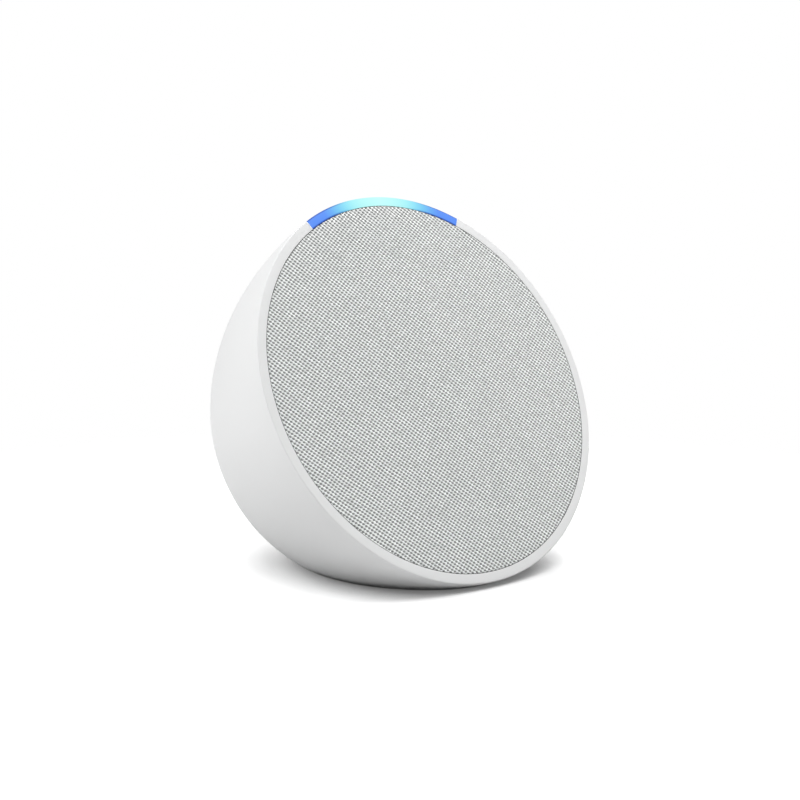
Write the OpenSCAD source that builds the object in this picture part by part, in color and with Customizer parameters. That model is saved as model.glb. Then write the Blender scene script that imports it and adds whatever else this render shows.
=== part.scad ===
// Half-ball smart speaker: a round cloth face on a domed plastic body, lit by an arc in its rim.
// Millimetres. +Z is up, the face looks towards -Y, and the origin is under the middle of the body.
// Depths are measured from the face's plane into the body, square to the face.

/* [Body] */
// Diameter of the face, over its rim
face_d = 99; // [96:0.5:120]
// Lean of the face back from upright, in degrees
face_tilt = 25.6; // [22:0.2:28]
// Height of the rim's lowest point above the floor
rim_lift = 1.75; // [1.6:0.05:4]
// Radius of the arc that the flank follows from the rim to the back
flank_r = 82; // [70:1:110]
// How much smaller the ball at the back is than the face, in radius
back_drop = 5.2; // [4:0.1:7]
// Width of the rim round the cloth
rim_w = 2.4; // [2:0.1:2.4]
// Chamfer on the rim's outer edge
rim_edge = 0.35; // [0.1:0.05:0.5]
// Wall of the housing
wall = 2.5; // [2.5:0.1:3]
// Floor of the housing
floor_t = 2; // [1.8:0.1:2.4]

/* [Foot] */
// Height of the foot below the housing
foot_h = 1.3; // [1:0.05:1.5]
// Step from the housing's edge in to the foot
foot_step = 0.35; // [0.2:0.05:1]
// How far the foot's key goes up into the housing
foot_key_h = 0.6; // [0.4:0.1:0.8]
// Step from the foot's edge in to its key
foot_key_step = 3.4; // [3:0.1:6]

/* [Light] */
// Half the angle that the lit bar spans
bar_half_angle = 28.9; // [24:0.1:32]
// Depth of the bar behind the face
bar_depth = 2.6; // [2:0.1:2.6]
// Number of LEDs along the bar
led_count = 9; // [5:2:11]
// Edge of one LED
led_size = 1.8; // [1.4:0.1:2]
// Height of one LED
led_h = 0.8; // [0.6:0.1:1]

/* [Grille] */
// Thickness of the cloth
cloth_t = 0.5; // [0.4:0.05:0.6]
// How far the cloth lies below the rim
cloth_sink = 0.1; // [0.1:0.05:0.3]
// Gap between the cloth's edge and the rim
cloth_gap = 0.3; // [0.25:0.05:0.5]
// Plate of the grille frame
grille_t = 1.5; // [1.3:0.1:1.6]
// Radius of one hole in the grille frame
grille_hole_r = 2.8; // [2:0.1:3]
// Distance between neighbouring holes
grille_pitch = 7.5; // [7:0.1:9]

/* [Buttons] */
// Depth of the buttons' row behind the face
button_depth = 21; // [21:0.5:24]
// Distance between neighbouring buttons
button_pitch = 11; // [10.5:0.1:11.5]
// Radius of a button
button_r = 4; // [3.5:0.1:4.1]
// How far a button stands out of the housing
button_proud = 0.3; // [0.2:0.05:0.5]
// How far a button goes in
button_travel = 0.4; // [0.2:0.05:0.4]
// Gap round a button
button_gap = 0.1; // [0.08:0.01:0.1]

/* [Driver] */
// Depth of the front of the chassis behind the face
chassis_depth = 11; // [10.8:0.1:11.2]
// Plate of the chassis
chassis_t = 2.4; // [2:0.1:2.4]
// Radius of the driver's flange
flange_r = 26; // [25.5:0.1:26]
// Outer radius of the magnet
magnet_r = 20; // [17:0.5:20.5]
// Height of the magnet
magnet_h = 7.5; // [6:0.1:7.5]
// Outer radius of the voice coil's former
coil_r = 10.15; // [9.5:0.05:10.3]
// How far the cone moves each way
cone_travel = 1.5; // [1:0.1:1.5]

/* [Power inlet] */
// Height of the inlet's axis above the floor
inlet_z = 13.5; // [13:0.1:14.5]
// Radius of the recess that takes the plug's body
recess_r = 5; // [4.5:0.1:5.2]
// Depth of the recess at its lower lip
recess_depth = 2.2; // [2:0.1:2.6]
// Radius of the jack's hole for the plug's barrel
barrel_r = 2.1; // [1.8:0.05:2.4]

/* [Hidden] */
$fn = 96;

// Colours
shell_white = [0.90, 0.91, 0.91];
board_green = [0.10, 0.32, 0.22];
dark_plastic = [0.16, 0.16, 0.17];
steel = [0.72, 0.73, 0.74];

// Body: an arc for the flank, tangent to a ball at the back
face_r = face_d/2;
back_r = face_r - back_drop;
blend_angle = acos((flank_r - face_r)/(flank_r - back_r));
back_depth = (flank_r - back_r)*sin(blend_angle);
blend_lap = 0.01; // how far the ball stands proud of the flank's end, so that the arcs cross
body_depth = face_r*sin(face_tilt) + back_depth*cos(face_tilt) + back_r;
face_y = face_r*sin(face_tilt) - body_depth/2;
face_z = rim_lift + face_r*cos(face_tilt);
ball_y = face_y + back_depth*cos(face_tilt);
ball_z = face_z - back_depth*sin(face_tilt);
mouth_r = face_r - rim_w;
floor_top = foot_h + floor_t;
big = 3*face_d;
skin = 1; // what a boss keeps back from the housing's outer surface
seat_gap = 0.3; // free space between a fitted piece and the housing
slip = 0.1; // free space between two pieces that face each other

// Light: the bar fills a slot in the rim, and the guide lies in a pocket under it
led_depth = 10; // of the board's front
led_board_t = 1;
led_board_half_w = 2.4;
led_row_r = mouth_r - 3.4;
led_span = 0.94; // share of the bar's angle that the row of LEDs takes
guide_foot = led_depth - led_h - slip*2;
guide_top = bar_depth + slip*1.5;
guide_shelf = guide_top + 3.25;
guide_r = mouth_r + 1.2;
guide_half_w = 1.2; // of its foot, over the LEDs
guide_flare = 1.8; // height over which the foot widens to the neck
guide_neck_r = min(mouth_r - 0.8, body_r(guide_foot - guide_flare, wall) - seat_gap);
guide_bore_r = mouth_r + 0.2;
guide_spare = 1; // angle by which the guide and its board run on past the bar's ends

// Grille and cloth
cloth_r = mouth_r - cloth_gap;
grille_r = cloth_r - cloth_t;
grille_front = cloth_sink + cloth_t;
grille_lip = 1.4;
grille_lip_h = 0.6;
grille_edge = 2.5; // solid band round the holes
grille_back = grille_front + grille_t + grille_lip_h;
mouth_depth = grille_back + cloth_t + slip*2;

// Chassis
chassis_back = chassis_depth + chassis_t;
chassis_r = body_r(chassis_back, wall) - seat_gap;
chassis_lip = 1.5;
chassis_boss_r = 3;
chassis_boss_at = chassis_r - 4.4;
chassis_screw_angles = [30, 150, 210, 330];
chassis_screw_grip = 6; // how far the screws go into the housing's bosses
ear_boss_r = 2.4;
ear_boss_h = 3;
hook_at = 40;
hook_angles = [0, 52, 128, 180, 232, 308];
hook_t = 1.2;
hook_w = 3;
hook_nose = 0.8;
hook_nose_h = 1;
hook_give = 0.75; // space that a hook bends into as it snaps in
screw_r = 1; // shank of every small screw
pilot_r = screw_r + 0.03;
head_r = 1.9;
head_h = 1.3;
cross_l = 2.2; // cross in every screw's head
cross_w = 0.5;
cross_depth = 0.7;
hole_spare = 0.5; // how much deeper a blind hole is than its screw

// Driver, from its flange back to its yoke
gasket_t = 0.8;
flange_t = 2;
flange_back = chassis_depth - gasket_t;
flange_front = flange_back - flange_t;
ear_at = flange_r + 2.2;
ear_r = 3;
opening_r = flange_r - 1.6;
basket_r = opening_r - 0.5;
basket_t = 1.2;
basket_window = 12;
terminal_size = [2.5, 7, 3.6];
cone_r = 19.3;
cone_t = 0.6;
cone_back = flange_front + 6.8;
roll_r = cone_travel + 0.5;
roll_t = 0.4;
roll_at = cone_r + roll_r;
cone_land = 1; // where the surround is glued to the cone
basket_land = 1.6; // and to the basket
dust_rise = 3;
dust_t = 0.4;
former_front = cone_back - dust_t;
coil_wall = 0.25;
winding_t = 0.55;
spider_depth = 18;
spider_ledge_r = 20.5;
spider_t = 0.4;
spider_land = 1.5;
spider_waves = 4;
spider_seat = spider_depth + spider_t;
plate_front = 22.5;
plate_t = 3.5;
plate_r = magnet_r - 2;
plate_bore_r = coil_r + winding_t + 0.4;
magnet_front = plate_front + plate_t;
magnet_bore_r = plate_bore_r + 1.7;
yoke_front = magnet_front + magnet_h;
yoke_t = 3.5;
yoke_r = magnet_r - 1;
yoke_back = yoke_front + yoke_t;
pole_r = coil_r - coil_wall - 0.5;
vent_r = 2.5;
coil_over = cone_travel + 0.25; // how far the winding reaches past the plate's two faces
former_back = magnet_front + coil_over + 0.25;

// Chamber behind the driver
seal_t = 0.5;
chamber_front = chassis_back + seal_t;
chamber_t = 1.8;
chamber_r = flange_r + 7;
chamber_flange_r = chamber_r + 4.2;
chamber_flange_t = 2;
chamber_step = 26;
chamber_tail_r = magnet_r + 2.7 + chamber_t;
chamber_back = yoke_back + 2.5 + chamber_t;
chamber_screw_at = chamber_r + 2.1;
chamber_boss_h = 4;
chamber_boss_r = 2.4;
chamber_screw_grip = 2; // how far the screws go past the chassis plate
grommet_depth = 20;
grommet_r = 2;
grommet_lip = 0.8;

// Main board on posts behind the chamber
post_h = 4.5;
post_r = 2.5;
board_front = chamber_back + post_h;
board_t = 1.2;
board_back = board_front + board_t;
board_r = chamber_tail_r + 3.5;
board_w = 2*chamber_tail_r + 1;
board_low = -9;
board_high = chamber_tail_r + 1.5;
board_posts = [for (x = [-16, 16], v = [-5, 14]) [x, v]];
chip_size = [12, 12];
chip_t = 1.2;
pad_t = 0.8;
sink_front = board_back + chip_t + pad_t;
sink_plate_t = 1;
fin_h = 2;
fin_t = 1;
fin_count = 6;
sink_size = [26, 18];
sink_at = [0, 8];
memory_at = [[-5.6, 6], [-5.6, 15.5]];
memory_size = [8, 8];
memory_t = 1;
can_at = [6, 10];
can_size = [14, 16];
can_h = 2;
can_t = 0.3;
capacitor_at = [[-20.5, 5], [20.5, 5]];
capacitor_r = 2.5;
capacitor_h = 4.5;
inductor_at = [[-21, -3], [21, -3]];
inductor_size = [5, 5];
inductor_h = 3;
speaker_plug = [chamber_tail_r - 4.5, 5];
power_plug = [0, -5.5];
button_plug = [7.5, chamber_tail_r - 2];
led_plug = [-15, chamber_tail_r - 4];
plug_h = 2.4;
antenna_angle = 104; // round from the top, one each side
antenna_half_angle = 7;
antenna_t = 0.6;
antenna_w = 2;

// Buttons: all slide along the skin's normal at the middle one
top_tilt = asin(button_depth/flank_r);
cap_reach = wall + 4; // how far the caps' bores run, each way from the skin
lip_gap = 0.1;
lip_t = 0.7;
lip_w = 0.8;
switch_board_drop = 7.5;
switch_board_t = 1;
switch_h = 1.3;
switch_size = 4.5;
switch_boss_r = 1.9;
switch_boss_xy = [[-button_pitch - 4.5, 6.5], [button_pitch + 4.5, 6.5], [0, 7]];
switch_board_size = [2*button_pitch + 14, 14.5];
switch_board_front = 5; // from the buttons' row to the board's front edge
switch_screw_grip = 2.5;
stem_r = 1.4;
plunger_r = 1.05;
plunger_h = switch_h - slip;
plunger_drop = switch_board_drop - switch_h - slip - button_travel; // of its top under the skin
mic_xy = [[-7, 7], [7, 7]];
mic_size = [3, 2.6, 1];
mic_hole_r = 0.6;
mic_port_r = 0.4;
mic_gasket_r = 1.8;

// Power inlet, level and facing back
recess_y = ball_at(inlet_z - recess_r) - recess_depth;
inlet_boss_t = 2;
inlet_boss_r = recess_r + 1.8;
jack_front = recess_y - inlet_boss_t;
jack_size = [9, 10.5, 7];
jack_collar_r = 3;
jack_pin_r = 0.8;
jack_bore = 9.5;
strap_size = [19, 4, 1.2];
strap_y = jack_front - 3;
strap_z = inlet_z + jack_size[2]/2;
strap_posts = [[-7.2, strap_y], [7.2, strap_y]];
strap_post_r = 1.8;
strap_screw_grip = 5;

// Leads and flat cables, as depths and places in the face's frame
lead_r = 0.6;
lead_gap = 1.5; // between the centres of a pair
ribbon_t = 0.25;
button_cable_w = 5;
led_cable_w = 6;
led_cable_x = led_plug[0];
led_slot_v = sqrt(pow(led_row_r - led_board_half_w, 2) - pow(abs(led_cable_x) + led_cable_w/2, 2))
    - seat_gap;
led_slot = [led_cable_w + 1, 2];

// Radius of the body's surface at a depth, t inside the skin
function body_r(depth, t = 0) =
    depth < (flank_r - t)*sin(blend_angle)
        ? face_r - flank_r + sqrt(pow(flank_r - t, 2) - pow(depth, 2))
        : sqrt(pow(back_r - t, 2) - pow(depth - back_depth, 2));

// Depth at which the flank's surface, t inside the skin, has come in to a radius
function flank_depth(r, t) = sqrt(pow(flank_r - t, 2) - pow(r - face_r + flank_r, 2));

// Y of the ball's surface behind its centre at a height
function ball_at(z) = ball_y + sqrt(pow(back_r, 2) - pow(z - ball_z, 2));

// Point up the face and depth of a point in the top controls' frame
function top_point(y, z) = [
    body_r(button_depth) - y*sin(top_tilt) + z*cos(top_tilt),
    button_depth + y*cos(top_tilt) + z*sin(top_tilt)
];

// Frame of the face: X across, Y up it, Z out of it
module in_face() {
    translate([0, face_y, face_z]) rotate([90 - face_tilt, 0, 0]) children();
}

// Frame of the top controls: X across, Y to the back, Z out of the skin
module in_top() {
    in_face() translate([0, body_r(button_depth), -button_depth])
        rotate([-90 - top_tilt, 0, 0]) children();
}

// Frame of the inlet: Z points out of it, to the back
module in_inlet() {
    translate([0, recess_y, inlet_z]) rotate([-90, 0, 0]) children();
}

module above(z) {
    translate([-big/2, -big/2, z]) cube(big);
}

// A ring between two depths in the face's frame
module ring(outer, inner, front, back) {
    translate([0, 0, -back]) linear_extrude(back - front) difference() {
        circle(outer);
        circle(inner);
    }
}

module disc(r, front, back) {
    translate([0, 0, -back]) cylinder(h = back - front, r = r);
}

// A block between two depths in the face's frame, about a point
module block(at, size, front, back) {
    translate([at[0] - size[0]/2, at[1] - size[1]/2, -back]) cube([size[0], size[1], back - front]);
}

// Puts children round the face's axis, at a radius
module around(angles, r) {
    for (a = angles) rotate([0, 0, a]) translate([r, 0, 0]) children();
}

module posts(at) {
    for (p = at) translate([p[0], p[1], 0]) children();
}

// Sector of a flat ring, centred on straight up the face
module top_sector(half) {
    polygon([for (a = [-1, -0.5, 0, 0.5, 1]) big*[sin(a*half), cos(a*half)], [0, 0]]);
}

// Half section of the body, t inside its skin
module body_section(t) {
    blend = (flank_r - t)*sin(blend_angle);
    intersection() {
        translate([face_r - flank_r, 0]) circle(flank_r - t);
        translate([0, -blend]) square([big, blend]);
    }
    intersection() {
        translate([0, -back_depth]) circle(back_r - t + blend_lap);
        translate([0, -big]) square(big);
    }
}

module body_solid(t) {
    in_face() rotate_extrude() body_section(t);
}

// The room inside the housing that its fitted pieces keep to
module inside() {
    intersection() {
        body_solid(wall + seat_gap);
        above(floor_top + seat_gap);
    }
}

// The layer of the body between two depths under its skin
module layer(outer, inner) {
    difference() {
        body_solid(outer);
        body_solid(inner);
    }
}

module outer_body() {
    difference() {
        body_solid(0);
        in_face() rotate_extrude()
            polygon([[face_r - rim_edge, slip], [face_r - rim_edge, 0], [face_r, -rim_edge],
                     [face_r + slip, -rim_edge], [face_r + slip, slip]]);
    }
}

module screw(length) {
    difference() {
        cylinder(h = head_h, r = head_r);
        for (a = [0, 90]) rotate([0, 0, a]) translate([-cross_l/2, -cross_w/2, head_h - cross_depth])
            cube([cross_l, cross_w, head_h]);
    }
    translate([0, 0, -length]) cylinder(h = length, r = screw_r);
}

/* Housing, foot */

module rear_housing() color(shell_white) difference() {
    union() {
        difference() {
            intersection() {
                outer_body();
                above(foot_h);
            }
            intersection() {
                body_solid(wall);
                above(floor_top);
            }
            in_face() disc(mouth_r, -slip, mouth_depth);
        }
        intersection() {
            body_solid(skin);
            above(foot_h + skin);
            housing_bosses();
        }
    }
    light_cuts();
    top_cuts();
    inlet_cuts();
    in_face() around(chassis_screw_angles, chassis_boss_at)
        disc(pilot_r, chassis_back - slip, chassis_back + chassis_screw_grip + hole_spare);
    foot_key(foot_h - slip, slip);
}

module housing_bosses() {
    in_face() around(chassis_screw_angles, chassis_boss_at)
        disc(chassis_boss_r, chassis_back,
             flank_depth(chassis_boss_at - chassis_boss_r, wall) + wall);
    in_top() posts(switch_boss_xy)
        translate([0, 0, -switch_board_drop]) cylinder(h = switch_board_drop, r = switch_boss_r);
    in_inlet() translate([0, 0, -inlet_boss_t]) cylinder(h = big, r = inlet_boss_r);
    // Shelf under the jack, and the strap's two posts
    translate([-jack_size[0]/2, jack_front - jack_size[1], foot_h])
        cube([jack_size[0], jack_size[1], inlet_z - jack_size[2]/2 - foot_h]);
    posts(strap_posts) translate([0, 0, foot_h]) cylinder(h = strap_z - foot_h, r = strap_post_r);
}

module light_cuts() {
    end_gap = asin(slip/face_r);
    in_face() {
        translate([0, 0, -bar_depth - slip]) linear_extrude(bar_depth + 2*slip)
            top_sector(bar_half_angle + end_gap);
        translate([0, 0, -guide_shelf - slip*2]) linear_extrude(guide_shelf) intersection() {
            circle(guide_r + slip);
            top_sector(bar_half_angle + guide_spare + end_gap);
        }
    }
}

module top_cuts() {
    in_top() {
        for (i = [-1, 0, 1]) translate([i*button_pitch, 0, -cap_reach])
            cylinder(h = 2*cap_reach, r = button_r + button_gap);
        posts(mic_xy) translate([0, 0, -cap_reach]) cylinder(h = 2*cap_reach, r = mic_hole_r);
        posts(switch_boss_xy) translate([0, 0, -switch_board_drop - slip])
            cylinder(h = switch_screw_grip + hole_spare + slip, r = pilot_r);
    }
}

module inlet_cuts() {
    in_inlet() cylinder(h = big, r = recess_r);
    in_inlet() translate([0, 0, -inlet_boss_t - slip])
        cylinder(h = inlet_boss_t + 2*slip, r = jack_collar_r + slip);
    posts(strap_posts) translate([0, 0, strap_z - strap_screw_grip - hole_spare])
        cylinder(h = strap_screw_grip + hole_spare + slip, r = pilot_r);
}

// Key that holds the foot, grown by a gap for its pocket
module foot_key(z, gap) {
    intersection() {
        body_solid(foot_step + foot_key_step - gap);
        translate([-big/2, -big/2, z]) cube([big, big, foot_h + foot_key_h + gap - z]);
    }
}

module foot_pad() color([0.62, 0.63, 0.63]) {
    intersection() {
        body_solid(foot_step);
        translate([-big/2, -big/2, 0]) cube([big, big, foot_h]);
    }
    foot_key(foot_h - slip, 0);
}

/* Light */

module light_bar() color([0.62, 0.90, 1.0]) intersection() {
    $fn = 360;
    outer_body();
    in_face() translate([0, 0, -bar_depth]) linear_extrude(bar_depth + slip) difference() {
        top_sector(bar_half_angle);
        circle(mouth_r + slip/2);
    }
}

module light_guide() color([0.85, 0.93, 0.95, 0.8]) in_face()
    rotate([0, 0, 90 - bar_half_angle - guide_spare])
        rotate_extrude(angle = 2*(bar_half_angle + guide_spare)) polygon([
            [led_row_r - guide_half_w, -guide_foot], [led_row_r + guide_half_w, -guide_foot],
            [guide_neck_r, -guide_foot + guide_flare], [guide_neck_r, -guide_shelf],
            [guide_r, -guide_shelf], [guide_r, -guide_top], [guide_bore_r, -guide_top],
            [guide_bore_r, -guide_top - 1.7], [led_row_r - guide_half_w, -guide_foot + 1.4]
        ]);

module led_board() color(board_green) in_face()
    translate([0, 0, -led_depth - led_board_t]) linear_extrude(led_board_t) intersection() {
        difference() {
            circle(chassis_r - seat_gap);
            circle(led_row_r - led_board_half_w);
        }
        top_sector(bar_half_angle + guide_spare);
    }

module leds() color([0.95, 0.95, 0.85]) in_face()
    for (i = [0:led_count - 1])
        rotate([0, 0, led_span*bar_half_angle*(1 - 2*i/(led_count - 1))])
            block([0, led_row_r], [led_size, led_size], led_depth - led_h, led_depth);

/* Grille */

function hex_points(pitch, limit) = [
    for (j = [-20:20], i = [-20:20])
        let (p = [pitch*(i + (j%2 == 0 ? 0 : 0.5)), pitch*j*sqrt(3)/2])
        if (norm(p) < limit) p
];

module grille_frame() color(dark_plastic) in_face() {
    translate([0, 0, -grille_front - grille_t]) linear_extrude(grille_t) difference() {
        circle(grille_r);
        posts(hex_points(grille_pitch, grille_r - grille_hole_r - grille_edge))
            circle(grille_hole_r);
    }
    ring(grille_r, grille_r - grille_lip, grille_front + grille_t - slip, grille_back);
    // Snap hooks that reach through the chassis and catch behind it
    nose = chassis_back + 2*slip;
    around(hook_angles, hook_at) {
        block([-hook_t/2, 0], [hook_t, hook_w], grille_front + grille_t - slip, nose + hook_nose_h);
        translate([0, hook_w/2, 0]) rotate([90, 0, 0]) linear_extrude(hook_w)
            polygon([[-slip, -nose], [hook_nose, -nose], [-slip, -nose - hook_nose_h]]);
    }
}

module grille_cloth() color([0.80, 0.81, 0.81]) in_face() rotate_extrude() difference() {
    union() {
        translate([0, -cloth_sink - cloth_t]) square([cloth_r - cloth_t, cloth_t]);
        translate([cloth_r - cloth_t, -cloth_sink - cloth_t]) intersection() {
            circle(cloth_t);
            square(cloth_t);
        }
        translate([grille_r, -grille_back]) square([cloth_t, grille_back - grille_front]);
        translate([grille_r - grille_lip, -grille_back - cloth_t])
            square([cloth_t + grille_lip, cloth_t]);
    }
}

/* Chassis */

module front_chassis() color(dark_plastic) difference() {
    intersection() {
        in_face() union() {
            disc(chassis_r, chassis_depth, chassis_back);
            difference() {
                ring(chassis_r, chassis_r - chassis_lip, mouth_depth, chassis_depth + slip);
                translate([0, 0, -chassis_depth]) linear_extrude(big)
                    top_sector(bar_half_angle + 3*guide_spare);
            }
            around([0:90:270], chamber_screw_at)
                disc(chamber_boss_r, chassis_depth - chamber_boss_h, chassis_back);
            around([45:90:315], ear_at) disc(ear_boss_r, chassis_depth, chassis_back + ear_boss_h);
        }
        above(floor_top + seat_gap);
    }
    in_face() {
        disc(opening_r, 0, big);
        around([45:90:315], ear_at) disc(pilot_r, 0, big);
        around([0:90:270], chamber_screw_at)
            disc(pilot_r, chassis_depth - chamber_screw_grip - hole_spare, big);
        around(chassis_screw_angles, chassis_boss_at) disc(screw_r + slip, 0, big);
        around(hook_angles, hook_at)
            block([-(hook_t + hook_give)/2 + slip, 0],
                  [hook_t + hook_give + slip, hook_w + 4*slip], chassis_depth - slip, big);
        // Slot that the LED cable passes
        block([led_cable_x, led_slot_v], led_slot, chassis_depth - slip, big);
    }
}

module chassis_screws() color(steel) in_face()
    around(chassis_screw_angles, chassis_boss_at)
        translate([0, 0, -chassis_depth]) screw(chassis_t + chassis_screw_grip);

/* Driver */

module driver_outline(r) {
    circle(r);
    around([45:90:315], 0) translate([0, -ear_r]) square([ear_at, 2*ear_r]);
    around([45:90:315], ear_at) circle(ear_r);
}

module driver_gasket() color([0.12, 0.12, 0.12]) in_face()
    translate([0, 0, -chassis_depth]) linear_extrude(gasket_t) difference() {
        driver_outline(flange_r);
        circle(opening_r);
        around([45:90:315], ear_at) circle(screw_r + slip);
    }

module driver_basket() color([0.22, 0.22, 0.23]) difference() {
    in_face() union() {
        translate([0, 0, -flange_back]) linear_extrude(flange_t) difference() {
            driver_outline(flange_r);
            circle(roll_at + roll_r);
        }
        rotate_extrude() polygon([
            [basket_r - basket_t, -flange_back + slip], [basket_r, -flange_back + slip],
            [basket_r, -spider_depth], [plate_r, -plate_front + basket_t], [plate_r, -plate_front],
            [plate_bore_r + 1, -plate_front], [plate_bore_r + 1, -plate_front + basket_t],
            [plate_r - 1, -plate_front + basket_t], [spider_ledge_r - 1.2, -spider_seat - basket_t],
            [spider_ledge_r - 1.2, -spider_seat], [basket_r - basket_t, -spider_seat]
        ]);
    }
    in_face() {
        around([45:90:315], ear_at) disc(screw_r + slip, 0, big);
        // Windows in the basket's side
        around([0:60:300], basket_r)
            block([0, 0], [5*basket_t, basket_window], flange_back + basket_t,
                  spider_depth - 0.8);
    }
}

module driver_screws() color(steel) in_face()
    around([45:90:315], ear_at)
        translate([0, 0, -flange_front]) screw(chassis_back + ear_boss_h - 1 - flange_front);

module driver_terminals() color([0.78, 0.62, 0.28]) in_face()
    block([basket_r + terminal_size[0]/2, 0], terminal_size, spider_depth - 0.6,
          spider_depth - 0.6 + terminal_size[2]);

module top_plate() color(steel) in_face()
    ring(plate_r, plate_bore_r, plate_front, magnet_front);

module magnet() color([0.24, 0.24, 0.26]) in_face()
    ring(magnet_r, magnet_bore_r, magnet_front, yoke_front);

module yoke() color(steel) in_face() difference() {
    union() {
        disc(yoke_r, yoke_front, yoke_back);
        disc(pole_r, plate_front, yoke_back);
    }
    disc(vent_r, 0, big);
}

module coil_former() color([0.80, 0.66, 0.40]) in_face()
    ring(coil_r, coil_r - coil_wall, former_front, former_back);

module voice_coil() color([0.72, 0.40, 0.20]) in_face()
    ring(coil_r + winding_t, coil_r, plate_front - coil_over, magnet_front + coil_over);

module cone() color([0.20, 0.20, 0.21]) in_face() rotate_extrude() polygon([
    [coil_r, -cone_back - cone_t], [coil_r, -cone_back], [cone_r, -flange_front],
    [cone_r, -flange_front - cone_t]
]);

module dust_cap() color([0.17, 0.17, 0.18]) in_face() {
    ball = (pow(coil_r, 2) + pow(dust_rise, 2))/(2*dust_rise);
    rotate_extrude() intersection() {
        translate([0, -former_front - ball + dust_rise]) difference() {
            circle(ball);
            circle(ball - dust_t);
        }
        translate([0, -former_front]) square([coil_r, dust_rise + 1]);
    }
}

// Half of a round wave in section: sign 1 stands out of the face, -1 goes in
module half_wave(at, depth, r, t, sign) {
    translate([at, -depth]) intersection() {
        difference() {
            circle(r);
            circle(r - t);
        }
        translate([-r, sign > 0 ? 0 : -r]) square([2*r, r]);
    }
}

module surround() color([0.10, 0.10, 0.10]) in_face() rotate_extrude() {
    half_wave(roll_at, flange_front, roll_r, roll_t, 1);
    translate([cone_r - cone_land, -flange_front]) square([cone_land + roll_t, roll_t]);
    translate([roll_at + roll_r - roll_t, -flange_front]) square([basket_land, roll_t]);
}

module spider() color([0.70, 0.52, 0.30]) in_face() rotate_extrude() {
    inner = coil_r + spider_t;
    outer = spider_ledge_r - spider_land;
    step = (outer - inner)/spider_waves;
    for (i = [0:spider_waves - 1])
        half_wave(inner + step*(i + 0.5), spider_depth + spider_t/2,
                  step/2 + spider_t/2, spider_t, i%2 == 0 ? 1 : -1);
    translate([coil_r + slip/2, -spider_seat]) square([2*spider_t, spider_t]);
    translate([outer - spider_t, -spider_seat])
        square([basket_r - basket_t - slip - outer + spider_t, spider_t]);
}

/* Chamber */

module chamber_seal() color([0.15, 0.15, 0.15]) in_face() difference() {
    ring(chamber_flange_r - 0.5, chamber_r - chamber_t, chassis_back, chamber_front);
    around([0:90:270], chamber_screw_at) disc(screw_r + slip, 0, big);
}

module speaker_chamber() color(dark_plastic) difference() {
    intersection() {
        in_face() {
            disc(chamber_flange_r, chamber_front, chamber_front + chamber_flange_t);
            disc(chamber_r, chamber_front, chamber_step);
            disc(chamber_tail_r, chamber_front, chamber_back);
            posts(board_posts) disc(post_r, chamber_back - slip, board_front);
        }
        inside();
    }
    in_face() {
        disc(chamber_r - chamber_t, 0, chamber_step - chamber_t);
        disc(chamber_tail_r - chamber_t, 0, chamber_back - chamber_t);
        around([0:90:270], chamber_screw_at) disc(screw_r + slip, 0, big);
        posts(board_posts) disc(pilot_r, chamber_back + hole_spare, big);
        translate([0, 0, -grommet_depth]) rotate([0, 90, 0]) cylinder(h = big, r = grommet_r);
    }
}

module chamber_screws() color(steel) in_face()
    around([0:90:270], chamber_screw_at)
        translate([0, 0, -chamber_front - chamber_flange_t]) mirror([0, 0, 1])
            screw(chamber_flange_t + seal_t + chassis_t + chamber_screw_grip);

module lead_grommet() color([0.12, 0.12, 0.12]) in_face()
    translate([chamber_r - chamber_t/2, 0, -grommet_depth]) rotate([0, 90, 0]) difference() {
        union() {
            translate([0, 0, -chamber_t/2]) cylinder(h = chamber_t + grommet_lip, r = grommet_r - 0.02);
            translate([0, 0, chamber_t/2 + slip])
                cylinder(h = grommet_lip, r = grommet_r + grommet_lip);
        }
        for (s = [-1, 1]) translate([0, s*lead_gap/2, 0])
            cylinder(h = 4*chamber_t, r = lead_r + slip, center = true);
    }

/* Main board */

module main_board() color(board_green) difference() {
    intersection() {
        in_face() translate([0, 0, -board_back]) linear_extrude(board_t) intersection() {
            circle(board_r);
            translate([-board_w/2, board_low]) square([board_w, board_high - board_low]);
        }
        inside();
    }
    in_face() posts(board_posts) disc(screw_r + slip, 0, big);
}

module board_screws() color(steel) in_face()
    posts(board_posts) translate([0, 0, -board_back]) mirror([0, 0, 1])
        screw(board_t + post_h - 2*hole_spare);

module processor() color([0.09, 0.09, 0.10]) in_face()
    block(sink_at, chip_size, board_back, board_back + chip_t);

module memory_chips() color([0.09, 0.09, 0.10]) in_face()
    for (p = memory_at) block(p, memory_size, board_front - memory_t, board_front);

module thermal_pad() color([0.55, 0.62, 0.70]) in_face()
    block(sink_at, chip_size, board_back + chip_t, sink_front);

module heat_sink() color([0.75, 0.76, 0.78]) in_face() {
    fin_root = sink_front + sink_plate_t;
    block(sink_at, sink_size, sink_front, fin_root);
    for (i = [0:fin_count - 1])
        block(sink_at + [(sink_size[0] - fin_t)*(i/(fin_count - 1) - 0.5), 0],
              [fin_t, sink_size[1]], fin_root - slip, fin_root + fin_h);
}

module shield_can() color(steel) in_face() difference() {
    block(can_at, can_size, board_front - can_h, board_front);
    block(can_at, can_size - 2*[can_t, can_t], board_front - can_h + can_t, board_front + slip);
}

module capacitors() color([0.20, 0.22, 0.30]) in_face()
    posts(capacitor_at) disc(capacitor_r, board_back, board_back + capacitor_h);

module inductors() color([0.25, 0.24, 0.24]) in_face()
    for (p = inductor_at) block(p, inductor_size, board_back, board_back + inductor_h);

module board_connectors() color([0.88, 0.86, 0.78]) in_face() {
    for (p = [[speaker_plug, [4, 5]], [power_plug, [6, 4]], [button_plug, [6, 3]],
              [led_plug, [7, 3]]])
        block(p[0], p[1], board_front - plug_h, board_front);
}

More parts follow.
